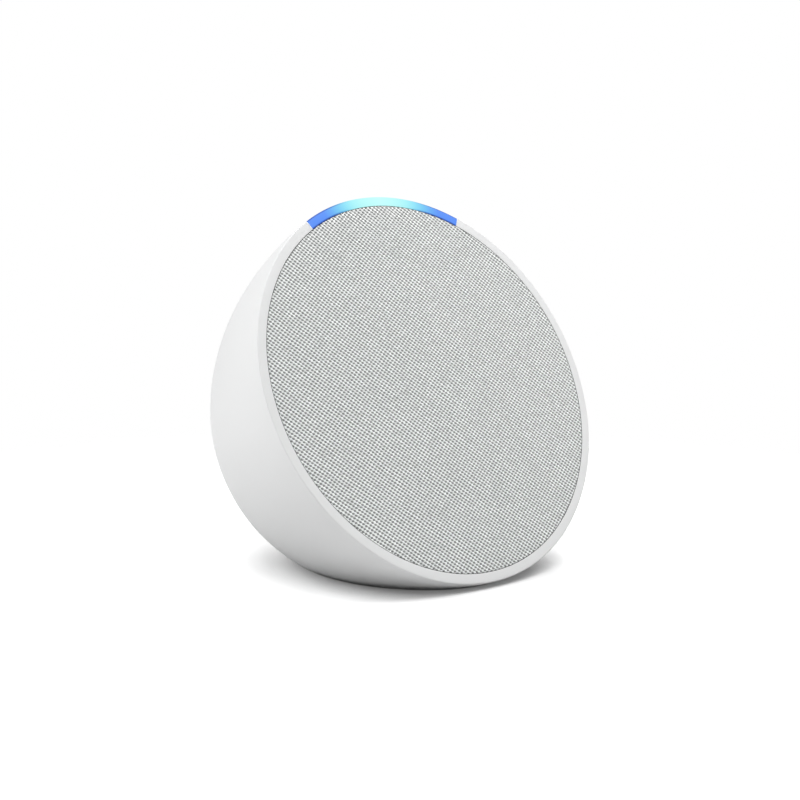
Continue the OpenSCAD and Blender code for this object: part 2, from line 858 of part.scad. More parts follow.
module antennas() color([0.72, 0.45, 0.22]) in_face()
    for (side = [0, 1]) mirror([side, 0, 0])
        translate([0, 0, -chassis_back - antenna_t]) linear_extrude(antenna_t) intersection() {
            difference() {
                circle(chamber_flange_r + 1 + antenna_w);
                circle(chamber_flange_r + 1);
            }
            rotate([0, 0, -antenna_angle]) top_sector(antenna_half_angle);
        }

/* Top controls */

module cap_at(x) color(shell_white) {
    under = wall + lip_gap + lip_t;
    intersection() {
        in_top() translate([x, 0, -cap_reach]) cylinder(h = 2*cap_reach, r = button_r);
        layer(-button_proud, under);
    }
    // Lip that keeps the cap in the housing
    intersection() {
        in_top() translate([x, 0, -cap_reach]) cylinder(h = 2*cap_reach, r = button_r + lip_w);
        layer(wall + lip_gap, under);
    }
    // Stem down to the switch
    difference() {
        in_top() translate([x, 0, -plunger_drop]) cylinder(h = plunger_drop - wall/2, r = stem_r);
        layer(-1, under - slip);
    }
}

module plunger_at(x) color([0.30, 0.30, 0.31]) in_top()
    translate([x, 0, -plunger_drop - plunger_h]) cylinder(h = plunger_h, r = plunger_r);

module volume_down_cap() cap_at(-button_pitch);
module mute_cap() cap_at(0);
module volume_up_cap() cap_at(button_pitch);
module volume_down_plunger() plunger_at(-button_pitch);
module mute_plunger() plunger_at(0);
module volume_up_plunger() plunger_at(button_pitch);

module switches() color(steel) in_top()
    for (i = [-1, 0, 1]) translate([i*button_pitch, 0, -switch_board_drop]) difference() {
        translate([-switch_size/2, -switch_size/2, 0])
            cube([switch_size, switch_size, switch_h]);
        translate([0, 0, slip]) cylinder(h = switch_h, r = plunger_r + button_gap/2);
    }

module switch_board() color(board_green) difference() {
    intersection() {
        in_top() translate([-switch_board_size[0]/2, -switch_board_front,
                            -switch_board_drop - switch_board_t])
            cube([switch_board_size[0], switch_board_size[1], switch_board_t]);
        inside();
    }
    in_top() translate([0, 0, -switch_board_drop - 2*switch_board_t]) {
        posts(switch_boss_xy) cylinder(h = 3*switch_board_t, r = screw_r + slip);
        posts(mic_xy) cylinder(h = 3*switch_board_t, r = mic_port_r);
    }
}

module switch_screws() color(steel) in_top()
    posts(switch_boss_xy) translate([0, 0, -switch_board_drop - switch_board_t])
        mirror([0, 0, 1]) screw(switch_board_t + switch_screw_grip);

module microphones() color([0.80, 0.70, 0.45]) in_top()
    posts(mic_xy) translate([0, 0, -switch_board_drop]) difference() {
        translate([-mic_size[0]/2, -mic_size[1]/2, 0]) cube(mic_size);
        translate([0, 0, mic_size[2]/2]) cylinder(h = mic_size[2], r = mic_port_r);
    }

module mic_gaskets() color([0.14, 0.14, 0.14]) intersection() {
    $fn = 240;
    in_top() posts(mic_xy) translate([0, 0, -switch_board_drop + mic_size[2]]) difference() {
        cylinder(h = switch_board_drop - mic_size[2], r = mic_gasket_r);
        translate([0, 0, -slip]) cylinder(h = switch_board_drop, r = mic_hole_r + slip);
    }
    body_solid(wall + slip/2);
}

/* Power inlet */

module power_jack() color(dark_plastic) difference() {
    union() {
        translate([-jack_size[0]/2, jack_front - jack_size[1], inlet_z - jack_size[2]/2])
            cube(jack_size);
        in_inlet() translate([0, 0, -inlet_boss_t - slip])
            cylinder(h = inlet_boss_t + slip, r = jack_collar_r);
    }
    in_inlet() translate([0, 0, -jack_bore]) cylinder(h = jack_bore + slip, r = barrel_r);
}

module jack_pin() color([0.80, 0.66, 0.35]) in_inlet()
    translate([0, 0, -jack_bore]) cylinder(h = jack_bore - 1, r = jack_pin_r);

module jack_strap() color(steel) difference() {
    translate([-strap_size[0]/2, strap_y - strap_size[1]/2, strap_z]) cube(strap_size);
    posts(strap_posts) translate([0, 0, strap_z - slip])
        cylinder(h = 2*strap_size[2], r = screw_r + slip);
}

module strap_screws() color(steel)
    posts(strap_posts) translate([0, 0, strap_z + strap_size[2]])
        screw(strap_size[2] + strap_screw_grip);

/* Leads and cables */

// Smooth curve through four places, in n steps
function curve(p, n) = [
    for (i = [0:n]) let (t = i/n, u = 1 - t)
        u*u*u*p[0] + 3*u*u*t*p[1] + 3*u*t*t*p[2] + t*t*t*p[3]
];

function unit(v) = v/norm(v);

function along(path, i) =
    unit(path[min(i + 1, len(path) - 1)] - path[max(i - 1, 0)]);

// Round lead swept along a path
module lead(path, r) {
    sides = 8;
    rings = len(path);
    points = [for (i = [0:rings - 1])
        let (d = along(path, i), a = unit(cross(d, [0.12, 1, 0.2])), b = cross(d, a))
        for (k = [0:sides - 1]) path[i] + r*(cos(45*k)*a + sin(45*k)*b)];
    faces = concat(
        [[for (k = [0:sides - 1]) k]],
        [for (i = [0:rings - 2], k = [0:sides - 1])
            [i*sides + k, (i + 1)*sides + k, (i + 1)*sides + (k + 1)%sides,
             i*sides + (k + 1)%sides]],
        [[for (k = [sides - 1:-1:0]) (rings - 1)*sides + k]]
    );
    polyhedron(points, faces);
}

// Flat cable along a path of [place up the face, depth] pairs
module ribbon(x, width, path) {
    n = len(path);
    side = function (i, s) let (d = along(path, i)) path[i] + s*ribbon_t/2*[-d[1], d[0]];
    outline = concat([for (i = [0:n - 1]) side(i, 1)], [for (i = [n - 1:-1:0]) side(i, -1)]);
    translate([x - width/2, 0, 0]) rotate([90, 0, 90]) linear_extrude(width)
        polygon([for (p = outline) [p[0], -p[1]]]);
}

// The speaker's pair runs out of the chamber and back beside it to the board
module speaker_lead() color([0.60, 0.12, 0.10]) in_face() {
    plug_side = [speaker_plug[0] + 2, speaker_plug[1], -board_front + plug_h/2];
    for (s = [-1, 1]) {
        shift = [0, s*lead_gap/2, 0];
        inside = [basket_r + 2.5, 0, -spider_depth - 1.5];
        wall_out = [chamber_r + 1.5, 0, -grommet_depth];
        lead([for (p = concat(
            curve([inside, inside + [2, 0, 0], wall_out - [4, 0, 0], wall_out], 6),
            curve([wall_out + [lead_r, 0, 0], wall_out + [6, 0, -3],
                   plug_side + [14, -2, 12], plug_side + [4, 0, 0]], 14),
            [plug_side]
        )) p + shift], lead_r);
    }
}

module power_lead() color([0.12, 0.12, 0.13]) in_face() {
    jack_y = jack_front - jack_size[1] - face_y;
    jack_dz = inlet_z - face_z;
    ahead = [0, -sin(face_tilt), cos(face_tilt)];
    start = [0, jack_y*sin(face_tilt) + jack_dz*cos(face_tilt),
             -jack_y*cos(face_tilt) + jack_dz*sin(face_tilt)] + seat_gap*ahead;
    finish = [power_plug[0], power_plug[1] - 2 - slip, -board_front + plug_h/2 + 0.2];
    for (s = [-1, 1]) lead([for (p = concat([start],
        curve([start + 0.5*ahead, start + 3*ahead, finish + [0, -5, 3], finish - [0, lead_r, 0]],
              12), [finish]
    )) p + [s*lead_gap/2, 0, 0]], lead_r);
}

module led_cable() color([0.75, 0.50, 0.18]) in_face()
    ribbon(led_cable_x, led_cable_w, concat(
        [[led_slot_v, led_depth + led_board_t/2]],
        curve([[led_slot_v, chassis_depth + 0.4], [led_slot_v, chassis_back + 3.6],
               [led_plug[1] + 9.5, chamber_step + 4],
               [led_plug[1] + 1.6, board_front - plug_h/2]], 12)
    ));

module button_cable() color([0.75, 0.50, 0.18]) in_face() {
    under = -switch_board_drop - switch_board_t - ribbon_t/2;
    start = top_point(8, under);
    ribbon(button_plug[0], button_cable_w, concat(
        [top_point(5, under)],
        curve([start, start + [-1, 5], [button_plug[1] + 7, board_front - 8],
               [button_plug[1] + 1.6, board_front - plug_h/2]], 12)
    ));
}

rear_housing();
foot_pad();
light_bar();
light_guide();
led_board();
leds();
grille_frame();
grille_cloth();
front_chassis();
chassis_screws();
driver_gasket();
driver_basket();
driver_screws();
driver_terminals();
top_plate();
magnet();
yoke();
coil_former();
voice_coil();
cone();
dust_cap();
surround();
spider();
chamber_seal();
speaker_chamber();
chamber_screws();
lead_grommet();
main_board();
board_screws();
processor();
memory_chips();
thermal_pad();
heat_sink();
shield_can();
capacitors();
inductors();
board_connectors();
antennas();
volume_down_cap();
mute_cap();
volume_up_cap();
volume_down_plunger();
mute_plunger();
volume_up_plunger();
switches();
switch_board();
switch_screws();
microphones();
mic_gaskets();
power_jack();
jack_pin();
jack_strap();
strap_screws();
speaker_lead();
power_lead();
led_cable();
button_cable();
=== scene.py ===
# Half-ball smart speaker: a round cloth face on a domed plastic body, lit by an arc in its rim.
from math import acos, asin, cos, hypot, pi, radians, sin

import bmesh
import bpy
from bmesh.types import BMEdge, BMFace, BMVert
from mathutils import Matrix, Vector


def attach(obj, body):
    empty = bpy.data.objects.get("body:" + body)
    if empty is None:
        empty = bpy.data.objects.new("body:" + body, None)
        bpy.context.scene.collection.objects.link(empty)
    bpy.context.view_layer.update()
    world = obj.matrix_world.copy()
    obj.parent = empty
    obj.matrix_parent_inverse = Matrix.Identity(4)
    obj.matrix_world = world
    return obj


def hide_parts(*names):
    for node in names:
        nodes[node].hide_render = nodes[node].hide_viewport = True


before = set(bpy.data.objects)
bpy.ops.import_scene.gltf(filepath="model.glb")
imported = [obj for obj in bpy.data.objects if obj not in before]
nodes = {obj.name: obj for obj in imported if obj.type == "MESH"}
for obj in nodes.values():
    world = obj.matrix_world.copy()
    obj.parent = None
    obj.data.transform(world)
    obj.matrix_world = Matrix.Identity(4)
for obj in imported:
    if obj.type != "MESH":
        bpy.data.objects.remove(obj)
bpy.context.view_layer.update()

mm = 0.001
scene = bpy.context.scene
print("frame loaded:", len(nodes), "nodes")

# The body's own values. A depth is measured from the face's plane into the body.
body = dict(
    faceR=49.5 * mm,  # over the rim
    tilt=radians(25.6),  # lean of the face back from upright
    rimLift=1.75 * mm,  # lowest point of the rim above the floor
    flankR=82 * mm,  # arc from the rim to the back
    backR=44.3 * mm,  # ball at the back
    mouthR=47.1 * mm,
    mouthDepth=3.4 * mm,
    wall=2.5 * mm,
    footH=1.3 * mm,
    floorTop=3.3 * mm,
)
flankCentre = body["faceR"] - body["flankR"]
blendAngle = acos((body["flankR"] - body["faceR"]) / (body["flankR"] - body["backR"]))
backDepth = (body["flankR"] - body["backR"]) * sin(blendAngle)


# Matrix of a frame whose Z points out of the surface that it lies on
def frameAt(origin, across, up):
    turn = Matrix((across, up, across.cross(up))).transposed()
    return Matrix.Translation(origin) @ turn.to_4x4()


across = Vector((1, 0, 0))
sinTilt, cosTilt = sin(body["tilt"]), cos(body["tilt"])
bodyDepth = body["faceR"] * sinTilt + backDepth * cosTilt + body["backR"]
faceCentre = Vector(
    (0, body["faceR"] * sinTilt - bodyDepth / 2, body["rimLift"] + body["faceR"] * cosTilt)
)
faceFrame = frameAt(faceCentre, across, Vector((0, sinTilt, cosTilt)))
toFace = faceFrame.inverted()


# Radius of the body at a depth, inset under its skin
def bodyRadius(depth, inset=0.0):
    r = body["flankR"] - inset
    if depth < r * sin(blendAngle):
        return flankCentre + (r * r - depth * depth) ** 0.5
    r = body["backR"] - inset
    return (r * r - (depth - backDepth) ** 2) ** 0.5


# How far a point lies outside the body's skin, or outside a skin inset under it
def skinGap(point, inset=0.0):
    p = toFace @ point
    r, depth = hypot(p.x, p.y), -p.z
    if depth < body["flankR"] * sin(blendAngle):
        return hypot(r - flankCentre, depth) - body["flankR"] + inset
    return hypot(r, depth - backDepth) - body["backR"] + inset


# The top controls and the power inlet, each with a frame of its own
controls = dict(
    depth=21 * mm,  # of the row of caps behind the face, along the top
    pitch=11 * mm,
    capR=4 * mm,
    gap=0.1 * mm,
    proud=0.3 * mm,
    boreDepth=6.5 * mm,
    boreRound=0.18 * mm,
    mics=(7 * mm, 7 * mm),  # a microphone hole's place from the middle cap
    micR=0.6 * mm,
    micRound=0.12 * mm,
)
inlet = dict(
    z=13.5 * mm,
    recessR=5 * mm,
    recessRound=0.35 * mm,
    lipDepth=2.2 * mm,
    lipRound=0.4 * mm,
    collarR=3.1 * mm,
    bossT=2 * mm,
    bossWall=1.8 * mm,
    bossL=20 * mm,
    poke=0.1 * mm,  # how far the cutter stands out of what it cuts
)
topTilt = asin(controls["depth"] / body["flankR"])
topFrame = (
    faceFrame
    @ Matrix.Translation((0, bodyRadius(controls["depth"]), -controls["depth"]))
    @ Matrix.Rotation(-pi / 2 - topTilt, 4, "X")
)
ballCentre = faceFrame @ Vector((0, 0, -backDepth))
lipDrop = inlet["z"] - inlet["recessR"] - ballCentre.z
recessY = ballCentre.y + (body["backR"] ** 2 - lipDrop**2) ** 0.5 - inlet["lipDepth"]
inletFrame = frameAt(Vector((0, recessY, inlet["z"])), across, Vector((0, 0, -1)))
jackEnd = recessY - inlet["bossT"]

merge = 1e-6  # vertices closer than this become one
skinSteps = 24  # steps that settle a point on the skin
ringSteps = 40  # the same along a level


def ofKind(geom, kind):
    return [part for part in geom if isinstance(part, kind)]


# Modelling helpers: an outline is drawn in the XZ plane as radius and height, then turned round Z
def lineTo(bm, last, *points):
    for r, z in points:
        new = bm.verts.new((r, 0, z))
        if last:
            bm.edges.new((last, new))
        last = new
    return last


def drawLoop(bm, *points):
    first = lineTo(bm, None, points[0])
    bm.edges.new((lineTo(bm, first, *points[1:]), first))


def arcTo(bm, last, centre, angle, steps):
    turned = bmesh.ops.spin(
        bm, geom=[last], cent=(centre[0], 0, centre[1]), axis=(0, 1, 0), angle=angle, steps=steps
    )
    return ofKind(turned["geom_last"], BMVert)[0]


def roundOff(bm, parts, radius, segments, affect="VERTICES"):
    bmesh.ops.bevel(
        bm, geom=parts, offset=radius, offset_type="OFFSET", segments=segments, profile=0.5,
        affect=affect, material=-1,
    )


def turnRound(bm, steps):
    bmesh.ops.spin(
        bm, geom=bm.verts[:] + bm.edges[:], cent=(0, 0, 0), axis=(0, 0, 1), angle=2 * pi,
        steps=steps, use_merge=True,
    )
    bmesh.ops.remove_doubles(bm, verts=bm.verts, dist=merge)
    bmesh.ops.recalc_face_normals(bm, faces=bm.faces)


# Cuts away what lies below a height and closes the cut; returns the new face
def cutLevel(bm, z):
    cut = bmesh.ops.bisect_plane(
        bm, geom=bm.verts[:] + bm.edges[:] + bm.faces[:], dist=1e-7, plane_co=(0, 0, z),
        plane_no=(0, 0, 1), clear_inner=True,
    )
    filled = bmesh.ops.contextual_create(bm, geom=ofKind(cut["geom_cut"], BMEdge))
    bmesh.ops.recalc_face_normals(bm, faces=bm.faces)
    return filled["faces"][0]


# Raises the middle of a level face; at the foot, the pad's key and the recess that takes it
def raiseMiddle(bm, face, margin, height):
    bmesh.ops.inset_region(bm, faces=[face], thickness=margin, use_even_offset=True)
    raised = bmesh.ops.extrude_face_region(bm, geom=[face])
    bmesh.ops.translate(bm, verts=ofKind(raised["geom"], BMVert), vec=(0, 0, height))
    if face.is_valid:
        bmesh.ops.delete(bm, geom=[face], context="FACES_ONLY")


# Lays a shape made over a frame's flat plane onto the body's skin. Only what is higher than
# `above` follows the skin, as if the skin were at the height `base`.
def layOnSkin(bm, local, above=-1.0, base=0.0):
    out = local.to_3x3() @ Vector((0, 0, 1))
    for v in bm.verts:
        if v.co.z > above:
            root = local @ Vector((v.co.x, v.co.y, 0))
            height = 0.0
            for step in range(skinSteps):
                height -= skinGap(root + out * height)
            v.co.z += height - base
    bm.transform(local)


# Puts vertices and faces in an order that only their places set, so that every run cuts alike
def settle(mesh):
    points = sorted((tuple(v.co), v.index) for v in mesh.vertices)
    rank = {old: new for new, (point, old) in enumerate(points)}
    faces = []
    for face in mesh.polygons:
        ring = [rank[index] for index in face.vertices]
        start = ring.index(min(ring))
        faces.append(ring[start:] + ring[:start])
    mesh.clear_geometry()
    mesh.from_pydata([point for point, old in points], [], sorted(faces))


def addObject(name, bm):
    mesh = bpy.data.meshes.new(name)
    bm.to_mesh(mesh)
    bm.free()
    settle(mesh)
    made = bpy.data.objects.new(name, mesh)
    scene.collection.objects.link(made)
    return made


def combine(target, other, operation, keep=False):
    step = target.modifiers.new("combine", "BOOLEAN")
    step.operation = operation
    step.solver = "EXACT"
    step.object = other
    graph = bpy.context.evaluated_depsgraph_get()
    result = bpy.data.meshes.new_from_object(target.evaluated_get(graph))
    settle(result)
    target.modifiers.clear()
    target.data = result
    if not keep:
        bpy.data.objects.remove(other)


# Merges what the cuts left almost in one place, and takes out faces without width
def tidyCuts(piece):
    bm = bmesh.new()
    bm.from_mesh(piece.data)
    bmesh.ops.remove_doubles(bm, verts=bm.verts, dist=2 * merge)
    bmesh.ops.dissolve_degenerate(bm, edges=bm.edges, dist=merge)
    bmesh.ops.triangulate(bm, faces=[f for f in bm.faces if len(f.verts) > 4], ngon_method="BEAUTY")
    bmesh.ops.dissolve_degenerate(bm, edges=bm.edges, dist=merge)
    bm.to_mesh(piece.data)
    bm.free()


def finishPiece(piece, material, rideOn="body", replaced=(), sharp=32):
    piece.data.materials.clear()
    piece.data.materials.append(material)
    piece.data.shade_smooth()
    piece.data.set_sharp_from_angle(angle=radians(sharp))
    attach(piece, rideOn)
    if replaced:
        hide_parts(*replaced)
    return piece


# Node helpers
def setUp(name, **values):
    material = bpy.data.materials.new(name)
    material.use_nodes = True
    shader = material.node_tree.nodes["Principled BSDF"]
    for socket, value in values.items():
        shader.inputs[socket.replace("_", " ")].default_value = value
    return material, material.node_tree, shader


def addNode(tree, kind, **settings):
    node = tree.nodes.new(kind)
    for name, value in settings.items():
        setattr(node, name, value)
    return node


def feed(tree, socket, value):
    if isinstance(value, bpy.types.NodeSocket):
        tree.links.new(value, socket)
    else:
        socket.default_value = value


def calc(tree, operation, *values):
    node = addNode(tree, "ShaderNodeMath", operation=operation)
    for socket, value in zip(node.inputs, values):
        feed(tree, socket, value)
    return node.outputs[0]


def rangeOf(tree, value, start, end):
    node = addNode(tree, "ShaderNodeMapRange", interpolation_type="SMOOTHSTEP")
    for socket, given in (("Value", value), ("From Min", start), ("From Max", end)):
        feed(tree, node.inputs[socket], given)
    return node.outputs[0]


def axesOf(tree, place):
    node = addNode(tree, "ShaderNodeSeparateXYZ")
    feed(tree, node.inputs[0], place)
    return node.outputs


def pointOf(tree, *axes):
    node = addNode(tree, "ShaderNodeCombineXYZ")
    for socket, value in zip(node.inputs, axes):
        feed(tree, socket, value)
    return node.outputs[0]


def mixColour(tree, factor, first, second, blend="MIX"):
    node = addNode(tree, "ShaderNodeMix", data_type="RGBA", blend_type=blend)
    for index, value in ((0, factor), (6, first), (7, second)):
        feed(tree, node.inputs[index], value)
    return node.outputs[2]


# A colour made darker or lighter by a level
def shaded(tree, colour, level):
    grey = addNode(tree, "ShaderNodeCombineColor")
    for socket in grey.inputs[:3]:
        feed(tree, socket, level)
    return mixColour(tree, 1.0, colour, grey.outputs[0], "MULTIPLY")


def noise(tree, place, scale, detail=2.0, rough=0.5):
    node = addNode(tree, "ShaderNodeTexNoise")
    given = dict(Vector=place, Scale=scale, Detail=detail, Roughness=rough)
    for socket, value in given.items():
        feed(tree, node.inputs[socket], value)
    return node.outputs["Fac"]


# Object coordinates as seen from a frame, so that a pattern is centred and turned on its piece
def placeOn(tree, local=None):
    place = addNode(tree, "ShaderNodeTexCoord").outputs["Object"]
    if local is None:
        return place
    node = addNode(tree, "ShaderNodeMapping", vector_type="TEXTURE")
    feed(tree, node.inputs["Vector"], place)
    node.inputs["Location"].default_value = local.translation
    node.inputs["Rotation"].default_value = local.to_euler()
    return node.outputs["Vector"]


def bump(tree, shader, height, depth):
    node = addNode(tree, "ShaderNodeBump")
    feed(tree, node.inputs["Distance"], depth)
    feed(tree, node.inputs["Height"], height)
    feed(tree, shader.inputs["Normal"], node.outputs["Normal"])


def dress(tree, shader, colour, roughness, height, depth):
    feed(tree, shader.inputs["Base Color"], colour)
    feed(tree, shader.inputs["Roughness"], roughness)
    bump(tree, shader, height, depth)


socketKinds = dict(Place="Vector", Colour="Color")  # all others are plain numbers


def newGroup(name, inputs, outputs):
    group = bpy.data.node_groups.new(name, "ShaderNodeTree")
    for side, sockets in (("INPUT", inputs), ("OUTPUT", outputs)):
        for socket in sockets.split():
            kind = "NodeSocket" + socketKinds.get(socket, "Float")
            group.interface.new_socket(socket, in_out=side, socket_type=kind)
    given = addNode(group, "NodeGroupInput").outputs
    wanted = addNode(group, "NodeGroupOutput").inputs
    return group, given, wanted


# Object coordinates go in as Place, as seen from a frame if one is given
def useGroup(tree, group, local=None, **values):
    node = addNode(tree, "ShaderNodeGroup", node_tree=group)
    feed(tree, node.inputs["Place"], placeOn(tree, local))
    for name, value in values.items():
        feed(tree, node.inputs[name], value)
    return node.outputs


surfaces = dict(
    cloudScale=0.02,  # clouds in plastic against its grain
    stainScale=0.06,  # stains in metal against its streaks
    stainShare=0.8,
    streakShade=(0.12, 0.88),
)


# Moulded surfaces: a fine grain, with slow clouds in colour and gloss
def makeGrainGroup():
    group, given, wanted = newGroup(
        "mouldedGrain", "Place Grain Colour Clouding Roughness Spread", "Colour Roughness Height"
    )
    scale = calc(group, "DIVIDE", 1.0, given["Grain"])
    fine = noise(group, given["Place"], scale, 3.0, 0.6)
    slow = noise(group, given["Place"], calc(group, "MULTIPLY", scale, surfaces["cloudScale"]), 2.0)
    shade = calc(group, "MULTIPLY", calc(group, "SUBTRACT", slow, 0.5), given["Clouding"])
    change = calc(group, "MULTIPLY", calc(group, "SUBTRACT", fine, 0.5), given["Spread"])
    feed(group, wanted["Colour"], shaded(group, given["Colour"], calc(group, "ADD", 1.0, shade)))
    feed(group, wanted["Roughness"], calc(group, "ADD", given["Roughness"], change))
    feed(group, wanted["Height"], calc(group, "ADD", fine, calc(group, "MULTIPLY", slow, 0.5)))
    return group


# Rolled, drawn or turned metal: streaks along one way, with stains in gloss
def makeStreakGroup():
    group, given, wanted = newGroup(
        "metalStreaks", "Place Streak Length Colour Roughness Spread", "Colour Roughness Height"
    )
    x, y, z = axesOf(group, given["Place"])
    squeezed = pointOf(group, calc(group, "DIVIDE", x, given["Length"]), y, z)
    scale = calc(group, "DIVIDE", 1.0, given["Streak"])
    streaks = noise(group, squeezed, scale, 4.0, 0.65)
    stains = noise(group, given["Place"], calc(group, "MULTIPLY", scale, surfaces["stainScale"]), 3.0)
    change = calc(group, "MULTIPLY", calc(group, "SUBTRACT", streaks, 0.5), given["Spread"])
    stainSpread = calc(group, "MULTIPLY", given["Spread"], surfaces["stainShare"])
    dull = calc(group, "MULTIPLY", calc(group, "SUBTRACT", stains, 0.5), stainSpread)
    rough = calc(group, "ADD", calc(group, "ADD", given["Roughness"], change), dull)
    level = calc(group, "MULTIPLY_ADD", calc(group, "ADD", streaks, stains), *surfaces["streakShade"])
    feed(group, wanted["Colour"], shaded(group, given["Colour"], level))
    feed(group, wanted["Roughness"], rough)
    feed(group, wanted["Height"], streaks)
    return group


yarns = dict(
    wobble=700.0,  # scale of the small wander, and of the slow one
    drift=120.0,
    slubStep=7.31,  # sets the unevenness of one yarn apart from the next
    slubScale=0.8,
    gap=(0.85, 0.25),  # height where a hole begins and where it is full
    twist=(9.0, 7.0),  # turns of the fibres along a yarn and over it
)


# Plain weave: yarns one over, one under, each float slanted a little by its twist. Over is 1 where an
# upright yarn is on top, Gap is 1 in the holes and low hollows between yarns, where painted shade goes,
# Slub is the unevenness of the yarn on top.
def makeWeaveGroup():
    group, given, wanted = newGroup(
        "plainWeave", "Place PitchX PitchY Crimp WidthX WidthY Slant Wander", "Height Over Gap Fibre Slub"
    )

    def do(operation, *values):
        return calc(group, operation, *values)

    def centred(value):
        return do("SUBTRACT", value, 0.5)

    def crossYarn(along, width):  # from -1 to 1 over a yarn's width, and its round top
        u = do("DIVIDE", do("MULTIPLY", centred(do("FRACT", along)), 2.0), width)
        square = do("MINIMUM", do("MULTIPLY", u, u), 1.0)
        return u, do("SQRT", do("SUBTRACT", 1.0, square))

    def halfWave(along):  # 1 and -1 by turns at the yarns' middles
        return do("COSINE", do("MULTIPLY", centred(along), pi))

    def turnOf(along):  # 1 for an even yarn, -1 for an odd one
        half = do("FRACT", do("MULTIPLY", do("FLOOR", along), 0.5))
        return do("SUBTRACT", 1.0, do("MULTIPLY", half, 4.0))

    def slubOf(across, along, seed):
        row = do("MULTIPLY", do("FLOOR", across), yarns["slubStep"])
        place = pointOf(group, row, do("MULTIPLY", along, yarns["slubScale"]), seed)
        return noise(group, place, 1.0)

    def pick(first, second):  # the first where an upright yarn is on top
        return do("ADD", second, do("MULTIPLY", over, do("SUBTRACT", first, second)))

    x, y = axesOf(group, given["Place"])[:2]
    wobble = noise(group, given["Place"], yarns["wobble"])
    drift = noise(group, given["Place"], yarns["drift"], 1.0)
    shift = do("MULTIPLY", centred(wobble), given["Wander"])
    sway = do("MULTIPLY", centred(drift), do("MULTIPLY", given["Wander"], 2.0))
    s = do("DIVIDE", do("ADD", do("ADD", x, shift), sway), given["PitchX"])
    t = do("DIVIDE", do("ADD", do("SUBTRACT", y, shift), sway), given["PitchY"])
    leanS = do("ADD", s, do("MULTIPLY", centred(do("FRACT", t)), given["Slant"]))
    leanT = do("ADD", t, do("MULTIPLY", centred(do("FRACT", s)), given["Slant"]))
    uprightU, uprightTop = crossYarn(leanS, given["WidthX"])
    levelU, levelTop = crossYarn(leanT, given["WidthY"])
    lift = do("MULTIPLY", do("MULTIPLY", halfWave(t), turnOf(leanS)), given["Crimp"])
    sink = do("MULTIPLY", do("MULTIPLY", halfWave(s), turnOf(leanT)), given["Crimp"])
    uprightH = do("ADD", uprightTop, lift)
    levelH = do("SUBTRACT", levelTop, sink)
    top = do("MAXIMUM", uprightH, levelH)
    over = do("GREATER_THAN", uprightH, levelH)
    feed(group, wanted["Height"], top)
    feed(group, wanted["Over"], over)
    feed(group, wanted["Gap"], rangeOf(group, top, *yarns["gap"]))
    feed(group, wanted["Slub"], pick(slubOf(leanS, t, 0.0), slubOf(leanT, s, 5.0)))
    # Fibres lie along the yarn that is on top, a little twisted
    lengthwise = do("MULTIPLY", pick(t, s), yarns["twist"][0])
    around = do("MULTIPLY", pick(uprightU, levelU), yarns["twist"][1])
    ply = do("SINE", do("ADD", lengthwise, around))
    feed(group, wanted["Fibre"], do("MULTIPLY_ADD", ply, 0.5, 0.5))
    return group


grainGroup = makeGrainGroup()
streakGroup = makeStreakGroup()
weaveGroup = makeWeaveGroup()


# Finishes; a grain, a streak and a depth are given in mm
def surface(name, group, colour, depth, settings, pattern):
    material, tree, shader = setUp(name, **settings)
    made = useGroup(tree, group, Colour=(*colour, 1), **pattern)
    dress(tree, shader, made["Colour"], made["Roughness"], made["Height"], depth)
    return material


def moulded(name, colour, roughness, grain=0.12, depth=0.004, clouding=0.03, spread=0.1, **settings):
    pattern = dict(Grain=grain * mm, Clouding=clouding, Roughness=roughness, Spread=spread)
    return surface(name, grainGroup, colour, depth * mm, settings, pattern)


def metal(name, colour, roughness, streak=0.08, length=12.0, depth=0.002, spread=0.25):
    pattern = dict(Streak=streak * mm, Length=length, Roughness=roughness, Spread=spread)
    return surface(name, streakGroup, colour, depth * mm, dict(Metallic=1.0), pattern)


weave = dict(
    pitchX=0.648 * mm,
    pitchY=0.556 * mm,
    crimp=0.55,
    widthX=1.6,
    widthY=0.92,
    slant=0.3,
    wander=0.2 * mm,
    depth=0.11 * mm,
    bright=(0.98, 1.0, 0.99, 1),
    shaded=(0.26, 0.27, 0.265, 1),
    # Near black where the weave lies low: painted shade in the hollows between yarns, with the dark frame
    # seen through the holes
    gap=(0.02, 0.02, 0.02, 1),
    fibre=(0.16, 0.88),  # what the fibres add to a yarn's level
    slub=0.9,
)
spider = dict(
    pitchX=0.42 * mm,
    pitchY=0.42 * mm,
    crimp=0.5,
    widthX=1.1,
    widthY=1.1,
    slant=0.0,
    wander=0.1 * mm,
    depth=0.08 * mm,
    dark=(0.42, 0.20, 0.05, 1),
    bright=(0.62, 0.34, 0.11, 1),
    gap=(0.08, 0.035, 0.01, 1),
)


def useWeave(tree, kind):
    keys = ("pitchX", "pitchY", "crimp", "widthX", "widthY", "slant", "wander")
    values = {key[0].upper() + key[1:]: kind[key] for key in keys}
    return useGroup(tree, weaveGroup, faceFrame, **values)


def makeClothMaterial():
    material, tree, shader = setUp(
        "wovenYarn", Roughness=0.9, Sheen_Weight=0.2, Sheen_Roughness=0.6, Specular_IOR_Level=0.25
    )
    made = useWeave(tree, weave)
    yarn = mixColour(tree, made["Over"], weave["shaded"], weave["bright"])
    fibre = calc(tree, "MULTIPLY_ADD", made["Fibre"], *weave["fibre"])
    level = calc(tree, "MULTIPLY_ADD", calc(tree, "SUBTRACT", made["Slub"], 0.5), weave["slub"], fibre)
    # The holes and low hollows between yarns are painted near black: painted shade, with the dark frame
    # behind
    colour = mixColour(tree, made["Gap"], shaded(tree, yarn, level), weave["gap"])
    feed(tree, shader.inputs["Base Color"], colour)
    bump(tree, shader, made["Height"], weave["depth"])
    return material


